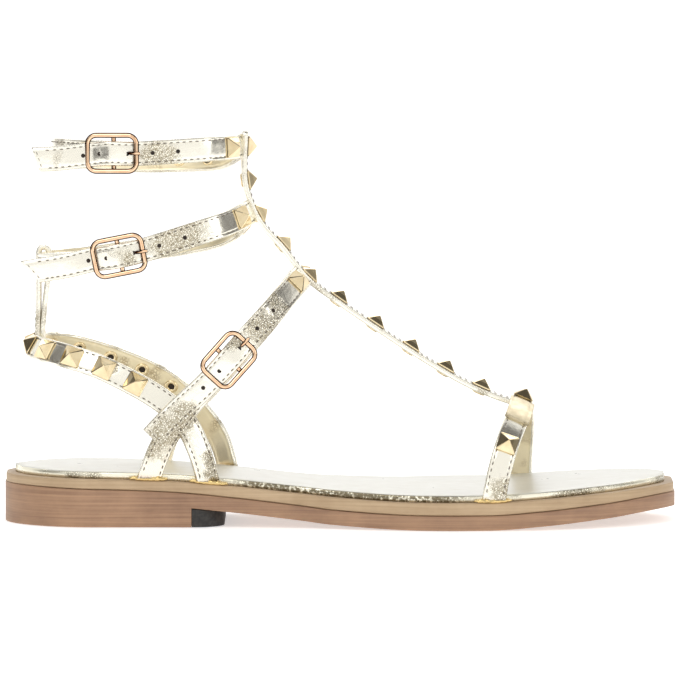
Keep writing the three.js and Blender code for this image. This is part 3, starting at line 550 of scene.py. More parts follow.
class Nodes:
    """Small helper that adds nodes to a tree and feeds their inputs."""

    def __init__(self, tree: bpy.types.NodeTree) -> None:
        """Keeps the tree that is built."""
        self.tree = tree

    def feed(self, target: Socket, value: object) -> None:
        """Links a source to an input, or sets the input's constant; a colour gets its fourth value."""
        if isinstance(value, bpy.types.NodeSocket):
            self.tree.links.new(value, target)
        elif target.type == "RGBA":
            target.default_value = (*value, 1)
        else:
            target.default_value = value

    def add(self, kind: str, inputs: dict | None = None, **values: object) -> bpy.types.Node:
        """Adds a node.

        Args:
            kind: Type name of the node.
            inputs: Sources or constants of its inputs, by name or index.
            **values: Attributes of the node.

        Returns:
            The node.
        """
        node = self.tree.nodes.new(kind)
        for key, value in values.items():
            setattr(node, key, value)
        for key, value in (inputs or {}).items():
            self.feed(node.inputs[key], value)
        return node

    def math(self, operation: str, *values: object) -> Socket:
        """Result of an operation on numbers."""
        return self.add("ShaderNodeMath", dict(enumerate(values)), operation=operation).outputs["Value"]

    def vector(self, operation: str, *values: object) -> Socket:
        """Result of an operation on vectors: a number for a dot product or a distance, else a vector."""
        node = self.add("ShaderNodeVectorMath", dict(enumerate(values)), operation=operation)
        return node.outputs["Value" if operation in ("DOT_PRODUCT", "DISTANCE") else "Vector"]

    def noise(self, place: Socket, scale: float, detail: float, rough: float = 0.5, out: str = "Fac") -> Socket:
        """Noise texture at a place, as a number or as a colour."""
        inputs = {"Vector": place, "Scale": scale, "Detail": detail, "Roughness": rough}
        return self.add("ShaderNodeTexNoise", inputs).outputs[out]

    def remap(self, source: Socket, low: float, high: float, start: float = 0.0, end: float = 1.0) -> Socket:
        """Number moved from the range low to high into the range start to end, and kept inside it."""
        inputs = {"Value": source, "From Min": low, "From Max": high, "To Min": start, "To Max": end}
        return self.add("ShaderNodeMapRange", inputs).outputs["Result"]

    def mix(self, share: Socket, first: Socket, second: Colour) -> Socket:
        """Colour between a source and a constant colour, by a share."""
        return self.add("ShaderNodeMix", {"Factor": share, 6: first, 7: second}, data_type="RGBA").outputs[2]

    def ramp(self, source: Socket, low: Colour, high: Colour, stops: tuple[float, float] = (0.0, 1.0)) -> Socket:
        """Colour ramp from one colour to another between two stops of a mask."""
        ramp = self.add("ShaderNodeValToRGB", {"Fac": source})
        for element, stop, colour in zip(ramp.color_ramp.elements, stops, (low, high)):
            element.position = stop
            element.color = (*colour, 1)
        return ramp.outputs["Color"]

    def bump(self, height: Socket, strength: float, distance: float) -> Socket:
        """Normal of a surface dented by a height."""
        inputs = {"Height": height, "Strength": strength, "Distance": distance}
        return self.add("ShaderNodeBump", inputs).outputs["Normal"]


@cache
def foil_group() -> bpy.types.NodeTree:
    """Crackled metal foil on leather: fine veins between grain cells and soft dents. It is made once.

    Returns:
        A group with Vector, Scale and Creased (mask) in, and Veins (mask) and Height out.
    """
    tree = bpy.data.node_groups.new("foil_crackle", "ShaderNodeTree")
    tree.interface.new_socket("Vector", in_out="INPUT", socket_type="NodeSocketVector")
    for name, way in (("Scale", "INPUT"), ("Creased", "INPUT"), ("Veins", "OUTPUT"), ("Height", "OUTPUT")):
        tree.interface.new_socket(name, in_out=way, socket_type="NodeSocketFloat")
    nodes = Nodes(tree)
    into, out = nodes.add("NodeGroupInput"), nodes.add("NodeGroupOutput")
    place = into.outputs["Vector"]
    warp = nodes.noise(place, 420.0, 3.0, out="Color")
    shifted = nodes.add("ShaderNodeMix", {"Factor": 0.0022, 4: place, 5: warp}, data_type="VECTOR").outputs[1]
    inputs = {"Vector": shifted, "Scale": into.outputs["Scale"]}
    cells = nodes.add("ShaderNodeTexVoronoi", inputs, feature="DISTANCE_TO_EDGE")
    veins = nodes.remap(cells.outputs["Distance"], 0.0, 0.3, 1.0, 0.0)
    spread = nodes.remap(nodes.noise(place, 70.0, 2.0), 0.56, 0.66)
    where = nodes.math("MAXIMUM", spread, into.outputs["Creased"])
    mask = nodes.math("MULTIPLY", veins, where)
    nodes.feed(out.inputs["Veins"], mask)
    nodes.feed(out.inputs["Height"], nodes.math("SUBTRACT", nodes.noise(place, 330.0, 4.0), mask))
    return tree


# Places where the straps were bent, in metres: X, Z and radius
CREASES = (
    (-0.0672, 0.1363, 0.0090),
    (-0.0628, 0.1060, 0.0105),
    (-0.0560, 0.1083, 0.0080),
    (-0.0291, 0.0739, 0.0080),
    (-0.0628, 0.0358, 0.0090),
    (-0.0691, 0.0313, 0.0075),
    (-0.0575, 0.0418, 0.0070),
    (-0.0471, 0.0254, 0.0050),
    (-0.0852, 0.0597, 0.0040),
    (0.0598, 0.0149, 0.0060),
)
CREASE_WAVE = 0.007
CREASE_CORE = 0.55
# Fade at both ends of the painted dark reflection along the insole's edge, in metres
REFLECTION_FADE = 0.012


@dataclass(frozen=True)
class Finish:
    """Finish of a surface: two colours and a roughness, laid by object coordinates."""

    name: str
    light: Colour
    dark: Colour
    roughness: float = 0.5

    def make(self) -> Material:
        """Builds the material from what the finish gives for the surface's inputs."""
        material = bpy.data.materials.new(self.name)
        material.use_nodes = True
        nodes = Nodes(material.node_tree)
        place = nodes.add("ShaderNodeTexCoord").outputs["Object"]
        shader = material.node_tree.nodes["Principled BSDF"]
        for key, value in self.surface(nodes, place).items():
            nodes.feed(shader.inputs[key], value)
        return material

    def surface(self, nodes: Nodes, place: Socket) -> dict[str, object]:
        """Sources and constants of the surface's inputs, by name."""
        raise NotImplementedError


@dataclass(frozen=True)
class FoilLeather(Finish):
    """Leather with a metal foil finish: pale metal, darker in its veins, with a fine dented grain."""

    metallic: float = 0.9
    scale: float = 900.0
    bump: float = 0.25
    coat: float = 0.2
    # Span along X of a painted dark reflection, in metres
    painted_reflection_span: tuple[float, float] | None = None
    creases: tuple[tuple[float, float, float], ...] = ()

    def surface(self, nodes: Nodes, place: Socket) -> dict[str, object]:
        """Inputs of the surface: the veins mix the two colours, and the grain feeds a bump.

        Within the span along X broad noise darkens the foil as a painted dark reflection, fading out at both
        ends.
        """
        group = nodes.add("ShaderNodeGroup", {"Scale": self.scale, "Vector": place}, node_tree=foil_group())
        if self.creases:
            nodes.feed(group.inputs["Creased"], self.creased(nodes, place))
        colour = nodes.ramp(group.outputs["Veins"], self.light, self.dark, (0.0, 0.9))
        # Painted dark reflection within the span along X
        if self.painted_reflection_span is not None:
            colour = self.rub(nodes, place, colour)
        wear = nodes.noise(place, 160.0, 3.0)
        return {
            "Metallic": self.metallic,
            "Coat Weight": self.coat,
            "Coat Roughness": 0.12,
            "Base Color": colour,
            "Roughness": nodes.remap(wear, 0.0, 1.0, self.roughness * 0.7, self.roughness * 1.5),
            "Normal": nodes.bump(group.outputs["Height"], self.bump, 0.0003),
        }

    def creased(self, nodes: Nodes, place: Socket) -> Socket:
        """Mask of the places where a strap was bent: round spots in X and Z with wavy rims.

        Args:
            nodes: Tree that is built.
            place: Object coordinates.

        Returns:
            The largest of the spots' values, each one near its centre and zero beyond its radius.
        """
        ripple = nodes.noise(place, 330.0, 2.0, out="Color")
        flat = nodes.vector("MULTIPLY", place, (1.0, 0.0, 1.0))
        wavy = nodes.vector("MULTIPLY_ADD", ripple, (CREASE_WAVE, 0.0, CREASE_WAVE), flat)
        spots = []
        for x, z, radius in self.creases:
            centre = (x + CREASE_WAVE / 2, 0.0, z + CREASE_WAVE / 2)
            spots.append(nodes.remap(nodes.vector("DISTANCE", wavy, centre), radius, radius * CREASE_CORE))
        return reduce(lambda mask, spot: nodes.math("MAXIMUM", mask, spot), spots)

    def rub(self, nodes: Nodes, place: Socket, colour: Socket) -> Socket:
        """Paints a dark reflection into a colour within the span: how deep it lies inside it times a stretched
        noise.

        Args:
            nodes: Tree that is built.
            place: Object coordinates.
            colour: Colour so far.

        Returns:
            The colour with the painted dark reflection.
        """
        low, high = self.painted_reflection_span
        along = nodes.add("ShaderNodeSeparateXYZ", {"Vector": place}).outputs["X"]
        rise = nodes.remap(along, low, low + REFLECTION_FADE)
        fall = nodes.remap(along, high, high - REFLECTION_FADE)
        spots = nodes.remap(nodes.noise(place, 900.0, 3.0), 0.36, 0.5)
        # Painted dark reflection: the span's mask times noise mixes in the dark colour
        return nodes.mix(nodes.math("MULTIPLY", nodes.math("MULTIPLY", rise, fall), spots), colour, self.dark)


@dataclass(frozen=True)
class PolishedMetal(Finish):
    """Plated metal with faint smears in its roughness, with a painted dark reflection towards the rims if rim is
    given.
    """

    # Colour of the painted dark reflection at grazing angles
    rim: Colour | None = None

    def surface(self, nodes: Nodes, place: Socket) -> dict[str, object]:
        """Inputs of the surface: a broad noise tints it and moves its roughness, grazing angles darken it with a
        painted dark reflection.
        """
        noise = nodes.noise(place, 260.0, 2.0)
        inputs = {
            "Metallic": 1.0,
            "Base Color": nodes.ramp(noise, self.light, self.dark, (0.35, 0.8)),
            "Roughness": nodes.remap(noise, 0.0, 1.0, self.roughness * 0.6, self.roughness * 1.5),
        }
        # Painted dark reflection: grazing angles mix in the rim colour, which also tints the specular
        if self.rim is not None:
            facing = nodes.add("ShaderNodeLayerWeight", {"Blend": 0.5}).outputs["Facing"]
            inputs["Base Color"] = nodes.mix(nodes.remap(facing, 0.12, 0.28), inputs["Base Color"], self.rim)
            inputs["Specular Tint"] = self.rim
        return inputs


@dataclass(frozen=True)
class StackedEdge(Finish):
    """Stacked leather board: thin level lines, blotches and a satin wax."""

    def surface(self, nodes: Nodes, place: Socket) -> dict[str, object]:
        """Inputs of the surface: noise stretched far along X and Y gives the level lines."""
        stretch = nodes.add("ShaderNodeMapping", {"Scale": (22.0, 22.0, 1300.0), "Vector": place})
        lines = nodes.noise(stretch.outputs["Vector"], 1.0, 4.0, 0.6)
        patches = nodes.noise(place, 48.0, 5.0, 0.65)
        both = nodes.add("ShaderNodeMix", {"Factor": 0.45, 2: lines, 3: patches}, data_type="FLOAT")
        return {
            "Base Color": nodes.ramp(both.outputs[0], self.dark, self.light, (0.36, 0.62)),
            "Roughness": nodes.remap(patches, 0.0, 1.0, self.roughness * 0.8, self.roughness * 1.3),
            "Normal": nodes.bump(lines, 0.25, 0.0002),
        }


@dataclass(frozen=True)
class Grained(Finish):
    """Plain grained surface, such as rubber, thread or a cut edge."""

    scale: float = 700.0
    bump: float = 0.3

    def surface(self, nodes: Nodes, place: Socket) -> dict[str, object]:
        """Inputs of the surface: one noise mixes the colours and feeds a bump."""
        noise = nodes.noise(place, self.scale, 4.0)
        return {
            "Base Color": nodes.ramp(noise, self.dark, self.light, (0.35, 0.65)),
            "Roughness": self.roughness,
            "Normal": nodes.bump(noise, self.bump, 0.0002),
        }


@dataclass(frozen=True)
class Paper(Finish):
    """Matt paper in the light colour, with a little glow in the dark colour's place."""

    glow: float = 0.5

    def surface(self, nodes: Nodes, place: Socket) -> dict[str, object]:
        """Inputs of the surface: constants alone."""
        return {
            "Base Color": self.light,
            "Roughness": self.roughness,
            "Emission Color": self.dark,
            "Emission Strength": self.glow,
        }


def made(finish: Finish) -> Material:
    """Field of a finish's material, built when the finishes are."""
    return field(default_factory=finish.make)


@dataclass
class Finishes:
    """Every finish of the shoe, made once."""

    strap: Material = made(FoilLeather(
        "strap_foil", (0.94, 0.90, 0.78), (0.34, 0.29, 0.19), 0.2, scale=1400.0, bump=0.4, creases=CREASES))
    lining: Material = made(FoilLeather(
        "lining_foil", (0.94, 0.84, 0.60), (0.50, 0.39, 0.22), 0.34, 0.75, 1000.0, 0.5))
    tuck: Material = made(FoilLeather(
        "tuck_foil", (0.74, 0.55, 0.24), (0.12, 0.07, 0.03), 0.2, 1.0, 500.0, 0.6))
    insole: Material = made(FoilLeather(
        "insole_foil", (0.68, 0.665, 0.605), (0.65, 0.63, 0.565), 0.3, 0.5, 900.0, 0.04, 0.0))
    # Its span along X is a painted dark reflection along the insole's edge
    insole_edge: Material = made(FoilLeather(
        "insole_edge_foil", (0.97, 0.93, 0.76), (0.20, 0.165, 0.10), 0.25, 0.75, 1300.0, 0.3,
        painted_reflection_span=(-0.045, 0.052)))
    # The buckle's rim colour is a painted dark reflection along the edges of its wires
    buckle: Material = made(PolishedMetal(
        "buckle_plate", (0.93, 0.66, 0.44), (0.80, 0.48, 0.28), 0.09, (0.07, 0.026, 0.009)))
    plate: Material = made(PolishedMetal(
        "toe_plate_gold", (0.60, 0.52, 0.36), (0.48, 0.40, 0.25), 0.36))
    stud: Material = made(PolishedMetal("stud_plate", (0.88, 0.74, 0.48), (0.76, 0.60, 0.35), 0.11))
    outsole: Material = made(StackedEdge("sole_board", (0.42, 0.25, 0.145), (0.245, 0.135, 0.08)))
    midsole: Material = made(StackedEdge("welt_board", (0.53, 0.385, 0.235), (0.39, 0.265, 0.15)))
    rubber: Material = made(Grained("heel_rubber", (0.035, 0.032, 0.027), (0.012, 0.011, 0.01), 0.6))
    thread: Material = made(Grained("thread", (0.24, 0.20, 0.15), (0.11, 0.09, 0.065), 0.6, 2500.0))
    # Near-black painted shade for the punched holes and the rivet bores; the toe plate's pin dot uses it too
    hole: Material = made(Grained("punched_hole_painted_shade", (0.035, 0.022, 0.013), (0.012, 0.008, 0.005), 0.8))



# Pieces


@dataclass
class Sole:
    """Outsole with heel, midsole, black heel front and insole."""

    finishes: Finishes
    stations: int = 150
    heel_length: float = 70.0
    breast_length: float = 12.0
    breast_corner: float = 12.0
    insole_inset: float = 3.3
    insole_thickness: float = 2.6
    insole_crown: float = 0.5
    edge_roll: float = 1.3
    evenness: float = 0.35
    steepest_pad: float = 0.72

    def xs(self, low: float = 0.0, high: float = LAST.length) -> Array:
        """Stations, closer together at both ends: even steps mixed with the cosine of even turns."""
        turn = np.linspace(0, np.pi, self.stations)
        even = np.linspace(low, high, self.stations)
        round_ends = low + (high - low) * (1 - np.cos(turn)) / 2
        return self.evenness * even + (1 - self.evenness) * round_ends

    def layer(self, x: Array, bottom: Array, top: Array, inset: Array, rounding: float) -> Array:
        """Rings of a layer: a rectangle between the sole's edges with quarter-round corners.

        Args:
            x: Stations.
            bottom: Height of the underside at each.
            top: Height of the top at each.
            inset: How far the edges are taken in.
            rounding: Radius of the corners.

        Returns:
            Rings by points by three.
        """
        outer, inner = LAST.edge_y(x, Side.OUTER) + inset, LAST.edge_y(x, Side.INNER) - inset
        turn = np.linspace(0, np.pi / 2, 4)
        cos, sin = (1 - np.cos(turn)) * rounding, (1 - np.sin(turn)) * rounding
        ys, zs = [], []
        for edge, level, way, up in ((outer, bottom, 1, 1), (outer, top, 1, -1), (inner, top, -1, -1),
                                     (inner, bottom, -1, 1)):
            order = -way * up
            ys.append(edge[:, None] + way * cos[None, ::order])
            zs.append(level[:, None] + up * sin[None, ::order])
        return self.at_stations(x, np.hstack(ys), np.hstack(zs))

    def at_stations(self, x: Array, y: Array, z: Array) -> Array:
        """Rings of points: each row of y and z stands at its station."""
        return np.stack([np.broadcast_to(x[:, None], y.shape), y, z], axis=-1)

    def outsole(self) -> None:
        """Outsole and heel in one piece: the heel's underside drops to the floor before the breast line."""
        x = np.sort(np.concatenate([self.xs(), [self.heel_length - 0.05, self.heel_length]]))
        low = np.where(x < self.heel_length - 0.01, 0.0, LAST.bottom(x))
        rings = self.layer(x, low, LAST.joint(x), np.zeros_like(x), 0.5)
        piece = make_object("outsole_and_heel", *loft(rings), self.finishes.outsole, "sole_tan")
        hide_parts("outsole", "heel")
        shade_by_angle(piece)

    def midsole(self) -> None:
        """Lighter band between outsole and insole, half a millimetre inside the outsole's edge."""
        x = self.xs(LAST.step, LAST.length - LAST.step)
        rings = self.layer(x, LAST.joint(x) + 0.12, LAST.top(x), np.full_like(x, LAST.step), 0.6)
        piece = make_object("midsole_band", *loft(rings), self.finishes.midsole, "welt_tan")
        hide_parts("midsole")
        shade_by_angle(piece)

    def heel_front(self) -> None:
        """Black front of the heel: its plan's corners are cut back by the versine of a quarter turn."""
        turn = np.linspace(0, np.pi / 2, 24)
        x = self.heel_length + 0.1 + self.breast_length * np.sin(turn)
        cut = 0.3 + self.breast_corner * (1 - np.cos(turn))
        rings = self.layer(x, np.zeros_like(x), LAST.bottom(x) - 0.1, cut, 0.5)
        piece = make_object("heel_front", *loft(rings), self.finishes.rubber, "black_rubber")
        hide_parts("heel_breast")
        shade_by_angle(piece)

    def insole(self) -> None:
        """Footbed: a rolled edge, a shallow seam inside it and a soft crown across.

        The profile goes from the lower outer edge over the roll to the middle. Height is the thickness
        times the roll's quarter circle, less a seam trough, plus the crown that grows to the middle.
        """
        x = self.xs()
        inset_ends = self.insole_inset + 0.5
        place = inset_ends + x * (LAST.length - 2 * inset_ends) / LAST.length
        half = np.maximum(LAST.half_y(x) - self.insole_inset, LAST.heel_flat)
        middle = LAST.middle_y(x)
        base = LAST.top(place) + 0.1
        turn = np.linspace(0, np.pi / 2, 7)
        roll = self.edge_roll
        edge_in = np.concatenate([[0.25, 0.0], roll * (1 - np.cos(turn))])
        edge_up = np.concatenate([[0.0, 0.5], self.insole_thickness - roll + roll * np.sin(turn)])
        share = np.linspace(0.08, 1, 9)
        reach = np.maximum(half - roll, 0.5)[:, None] * (1 - share[None])
        dome = self.insole_thickness + self.insole_crown * (1 - (1 - share[None]) ** 2)
        trough = -0.35 * np.exp(-(((half[:, None] - roll - reach) - 1.2) / 0.7) ** 2)
        away = np.hstack([half[:, None] - edge_in[None], reach])
        up = np.hstack([base[:, None] + edge_up[None], base[:, None] + dome + trough])
        y = np.hstack([middle[:, None] - away, (middle[:, None] + away)[:, -2::-1]])
        rings = self.at_stations(place, y, np.hstack([up, up[:, -2::-1]]))
        piece = make_object("insole_pad", *loft(rings), self.finishes.insole, "insole_leather")
        piece.data.materials.append(self.finishes.insole_edge)
        normals = np.empty(len(piece.data.polygons) * 3)
        piece.data.polygons.foreach_get("normal", normals)
        steep = normals.reshape(-1, 3)[:, 2] < self.steepest_pad
        piece.data.polygons.foreach_set("material_index", steep.astype(np.int32))
        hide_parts("insole")

    def build(self) -> None:
        """Builds every layer of the sole."""
        self.outsole()
        self.midsole()
        self.heel_front()
        self.insole()
        LOG.info("sole built")


def shade_by_angle(obj: bpy.types.Object, degrees: float = 35.0) -> None:
    """Marks the edges that turn more than an angle sharp, so that flat ends stay flat."""
    work = bmesh.new()
    work.from_mesh(obj.data)
    limit = math.radians(degrees)
    for edge in work.edges:
        edge.smooth = len(edge.link_faces) == 2 and edge.calc_face_angle(0.0) < limit
    work.to_mesh(obj.data)
    work.free()


@dataclass
class Strap:
    """One leather strap: two layers with stitched edges, along a line."""

    name: str
    line: Line
    finishes: Finishes
    width: float = STRAP_WIDTH
    thickness: float = STRAP_THICKNESS
    seam_inset: float = 1.35
    seam_pitch: float = 2.4
    bead_width: float = 0.38
    bead_height: float = 0.4
    bead_rise: float = 0.02
    trim: tuple[float, float] = (0.0, 0.0)
    foot_depth: float = -0.9
    tip_slant: float | None = None
    tip_reach: float = 9.0

    def section(self) -> Array:
        """Half turn by half turn: rounded edges with a groove between the layers, and puffed faces.

        Returns:
            Points across (first column) and out (second column), going round once. Out is the half
            thickness less a trough at each seam, and the edges are quarter circles pinched in the middle.
        """
        half, t = self.width / 2, self.thickness / 2
        radius = t * 0.75
        across = np.concatenate([
            np.linspace(-half + radius, -half + self.seam_inset + 0.8, 6),
            np.linspace(-half + self.seam_inset + 1.6, half - self.seam_inset - 1.6, 5),
            np.linspace(half - self.seam_inset - 0.8, half - radius, 6),
        ])
        seam = half - self.seam_inset
        trough = sum(0.16 * np.exp(-(((across - side * seam) / 0.45) ** 2)) for side in Side)
        puff = 0.1 * (1 - (across / half) ** 2)
        face = np.column_stack([across, t - trough + puff])
        turn = np.linspace(0.12, 0.88, EDGE_TURNS) * np.pi
        pinch = 0.22 * np.exp(-(((turn - np.pi / 2) / 0.25) ** 2))
        right = np.column_stack([half - radius + (radius - pinch) * np.sin(turn), t * np.cos(turn)])
        back = face[::-1] * [1, -1]
        left = right[::-1] * [-1, 1]
        return np.vstack([face, right, back, left])

    def surface(self) -> Mesh:
        """The section carried along the line: place + across times width + outward times height.

        At a foot the strap stops just over the top of the sole, within its tuck: each point of the first ring
        under that height is moved along the strap up to it.

        Returns:
            Vertices and faces of the closed strap.
        """
        section = self.section()
        line = self.line
        rings = (
            line.point[:, None]
            + section[None, :, 0:1] * line.across[:, None]
            + section[None, :, 1:2] * line.out[:, None]
        )
        if self.tip_slant is not None:
            near = np.clip(1 - (line.lengths[-1] - line.lengths) / self.tip_reach, 0, 1)
            slide = self.tip_slant * near[:, None] * section[None, :, 0] / self.width
            rings = rings + slide[:, :, None] * line.tangent[:, None]
        sole = LAST.top(rings[:, :, 0]) - self.foot_depth
        clear = np.flatnonzero((rings[:, :, 2] > sole).all(axis=1))
        first, last = clear[0], clear[-1]
        rings = rings[max(first - 1, 0): last + 2]
        if first > 0:
            rings[0] = self.stand(rings[0], rings[1])
        if last < len(line.point) - 1:
            rings[-1] = self.stand(rings[-1], rings[-2])
        return loft(rings)

    def inner_faces(self, count: int) -> Array:
        """Marks the faces of the surface that form the strap's inner side, without its rounded edges.

        Args:
            count: Number of faces of the surface.

        Returns:
            One truth value a face: the section's column lies within its back, and the end caps are left out.
        """
        around = len(self.section())
        column = np.arange(count) % around
        back = around // 2
        edge = EDGE_TURNS + 1
        marked = (column >= back) & (column < around - edge)
        marked[-2 * around:] = False
        return marked

    def stand(self, ring: Array, above: Array) -> Array:
        """Moves a ring along the strap to the height of its foot: above + step times the share of its drop."""
        step = ring - above
        drop = above[:, 2] - (LAST.top(above[:, 0]) - self.foot_depth)
        return above + step * (drop / -step[:, 2])[:, None]

    def stitches(self) -> Mesh:
        """Beads of thread along both edges of the outer face, one every pitch."""
        total = self.line.lengths[-1]
        low, high = self.trim[0] + 1.2, total - self.trim[1] - 1.2
        count = max(int((high - low) / self.seam_pitch), 1)
        lengths = low + (np.arange(count) + 0.5) * (high - low) / count
        verts, faces = bead(self.seam_pitch * 0.55, self.bead_width, self.bead_height)
        parts = []
        for side in Side:
            stations = self.line.at(lengths)
            across = np.cross(stations.tangent, stations.out)
            stations.point = stations.point + across * side * (self.width / 2 - self.seam_inset)
            slide = (self.tip_slant or 0.0) * np.clip(1 - (total - lengths) / self.tip_reach, 0, 1)
            slide = slide * side * (0.5 - self.seam_inset / self.width)
            stations.point = stations.point + stations.tangent * slide[:, None]
            parts.append(copies(verts, faces, stations, self.thickness / 2 + self.bead_rise))
        if self.tip_slant is not None:
            parts.append(self.tip_stitches(verts, faces))
        return merge(parts)

    def tip_stitches(self, verts: Array, faces: Array) -> Mesh:
        """Row of beads across the free end, along its slanted cut."""
        share = np.array([-1.0, 0.0, 1.0]) * 0.24
        end = self.line.at(np.full(3, self.line.lengths[-1] - self.seam_inset))
        run = end.across * self.width + end.tangent * self.tip_slant
        place = end.point + run * share[:, None]
        return copies(verts, faces, Line(place, unit(run), end.out), self.thickness / 2 + self.bead_rise)


@dataclass
class Upper:
    """All straps, their stitching, holes and tucks."""

    finishes: Finishes
    hole_radius: float = 0.8
    stay_top: float = 0.68
    stay_low: float = 0.466
    stay_along: float = 0.041
    tuck_reach: float = 2.6
    tuck_inset: float = 1.25
    tuck_rise: float = 0.75
    tuck_sides: int = 8
    straps: dict[str, Strap] = field(default_factory=dict)

    def plan(self) -> None:
        """Works out the line of every strap."""
        lines = {
            "front_bar": route(FRONT_BAR, INSTEP_CENTRE, 110),
            "toe": route(TOE_STRAP, TOE_CENTRE, 90),
            "instep": route(INSTEP_STRAP, INSTEP_CENTRE, 190),
            "buckle_leg": route(BUCKLE_STRAP, LOW_CENTRE, 50),
            "heel": route(HEEL_STRAP, LOW_CENTRE, 190),
            "top_loop": TOP_ANKLE.loop_line(150),
            "top_tongue": TOP_ANKLE.tongue_line(120),
            "middle_loop": MIDDLE_ANKLE.loop_line(150),
            "middle_tongue": MIDDLE_ANKLE.tongue_line(120),
        }
        trims = {"toe": (6, 6), "instep": (6, 2.6), "buckle_leg": (6, 2), "heel": (6, 6)}
        trims.update(top_tongue=(0, 2.6), middle_tongue=(0, 2.6))
        slants = {"top_tongue": 2.6, "middle_tongue": 6.0, "instep": 0.0}
        for name, line in lines.items():
            width = BAR_WIDTH if name in ("front_bar", "toe") else STRAP_WIDTH
            self.straps[name] = Strap(
                name, line, self.finishes, width, trim=trims.get(name, (0.0, 0.0)), tip_slant=slants.get(name))

    def stay(self) -> None:
        """Back stay: a strip folded over the middle ankle strap, both leaves down to the heel strap."""
        x = (MIDDLE_ANKLE.middle - MIDDLE_ANKLE.half_long) * LAST.length
        top = self.stay_top * ANKLE_HEIGHT + STRAP_WIDTH / 2 + 1.6
        low, low_x = self.stay_low * ANKLE_HEIGHT, self.stay_along * LAST.length
        fold = STRAP_THICKNESS - 0.15
        end = low - STRAP_WIDTH / 2 + 1
        places = np.array([(px, 0.0, pz) for px, pz in (
            (low_x + fold, end), (low_x + fold, low + 6), (low_x + fold + 0.3, low + 14), (x - fold, top - 9),
            (x - fold, top - 2.2), (x - fold * 0.6, top - 0.4), (x, top), (x + fold * 0.6, top - 0.4),
            (x + fold, top - 2.2), (x + fold * 0.9, top - 9), (low_x + fold * 2.3, low + 14),
            (low_x + fold * 2, low + 6), (low_x + fold * 2, end),
        )])
        point, tangent = catmull(places, np.linspace(0, 1, 121))
        out = np.column_stack([-tangent[:, 2], np.zeros(len(tangent)), tangent[:, 0]])
        self.straps["stay"] = Strap("stay", Line(point, tangent, out), self.finishes, 8.0, 1.85, trim=(6, 62))

    def holes(self) -> Mesh:
        """Punched holes along the buckled straps, on both sides of the one in use."""
        verts, faces = disc(self.hole_radius)
        parts = []
        for name, along, low, offsets in BUCKLED.values():
            strap = self.straps[name]
            seat = strap.line.length_at(along, low)
            stations = strap.line.at(seat + np.array(offsets))
            parts.append(copies(verts, faces, stations, strap.thickness / 2 + 0.1))
        return merge(parts)

    def tucks(self) -> Mesh:
        """Crumpled gold edge where each strap turns in under the insole.

        A wire along the sole's edge, thin at both ends, its middle under the strap: over half the way from the
        strap's end station to one farther in. Its radius and height waver with a sum of sines.
        """
        feet = (
            ("toe", 0, 5, Side.OUTER), ("toe", -1, -6, Side.INNER), ("instep", 0, 5, Side.INNER),
            ("buckle_leg", 0, 5, Side.OUTER), ("heel", 0, 5, Side.OUTER), ("heel", -1, -6, Side.INNER),
        )
        turn = np.arange(self.tuck_sides) * (2 * np.pi / self.tuck_sides)
        ring = np.stack([np.zeros_like(turn), 1.3 * np.cos(turn), np.sin(turn)], axis=1)
        share = np.linspace(-1, 1, 34)
        parts = []
        for number, (name, end, inward, side) in enumerate(feet):
            strap = self.straps[name]
            foot, above = strap.line.point[end, 0], strap.line.point[inward, 0]
            middle = foot + (above - foot) * 0.6
            x = middle + share * (strap.width / 2 + self.tuck_reach)
            waver = np.sin(share * 19 + number) * 0.5 + np.sin(share * 43 + 2 * number) * 0.5
            y = LAST.edge_y(x, side) - side * (self.tuck_inset + 0.15 * waver)
            z = LAST.top(x) + self.tuck_rise + 0.2 * waver
            radius = (1.0 + 0.2 * np.roll(waver, 5)) * np.sqrt(np.clip(1.02 - share**2, 0, 1))
            place = np.stack([x, y, z], axis=1)
            parts.append(loft(place[:, None] + ring[None] * radius[:, None, None]))
        return merge(parts)

    def build(self) -> None:
        """Builds the straps as one dressed piece, then thread, holes and tucks."""
        self.plan()
        self.stay()
        parts = [strap.surface() for strap in self.straps.values()]
        inner = [strap.inner_faces(len(faces)) for strap, (_, faces) in zip(self.straps.values(), parts)]
        piece = make_object("upper_straps", *merge(parts), self.finishes.strap, "strap_leather")
        piece.data.materials.append(self.finishes.lining)
        piece.data.polygons.foreach_set("material_index", np.concatenate(inner).astype(np.int32))
        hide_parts("upper")
        beads = merge([strap.stitches() for strap in self.straps.values()])
        make_object("upper_stitching", *beads, self.finishes.thread, "strap_leather")
        # The holes are dark lenses of painted shade
        make_object("strap_holes", *self.holes(), self.finishes.hole, "strap_leather")
        make_object("strap_tucks", *self.tucks(), self.finishes.tuck, "strap_leather")
        LOG.info("upper built, %d stitching vertices", len(beads[0]))


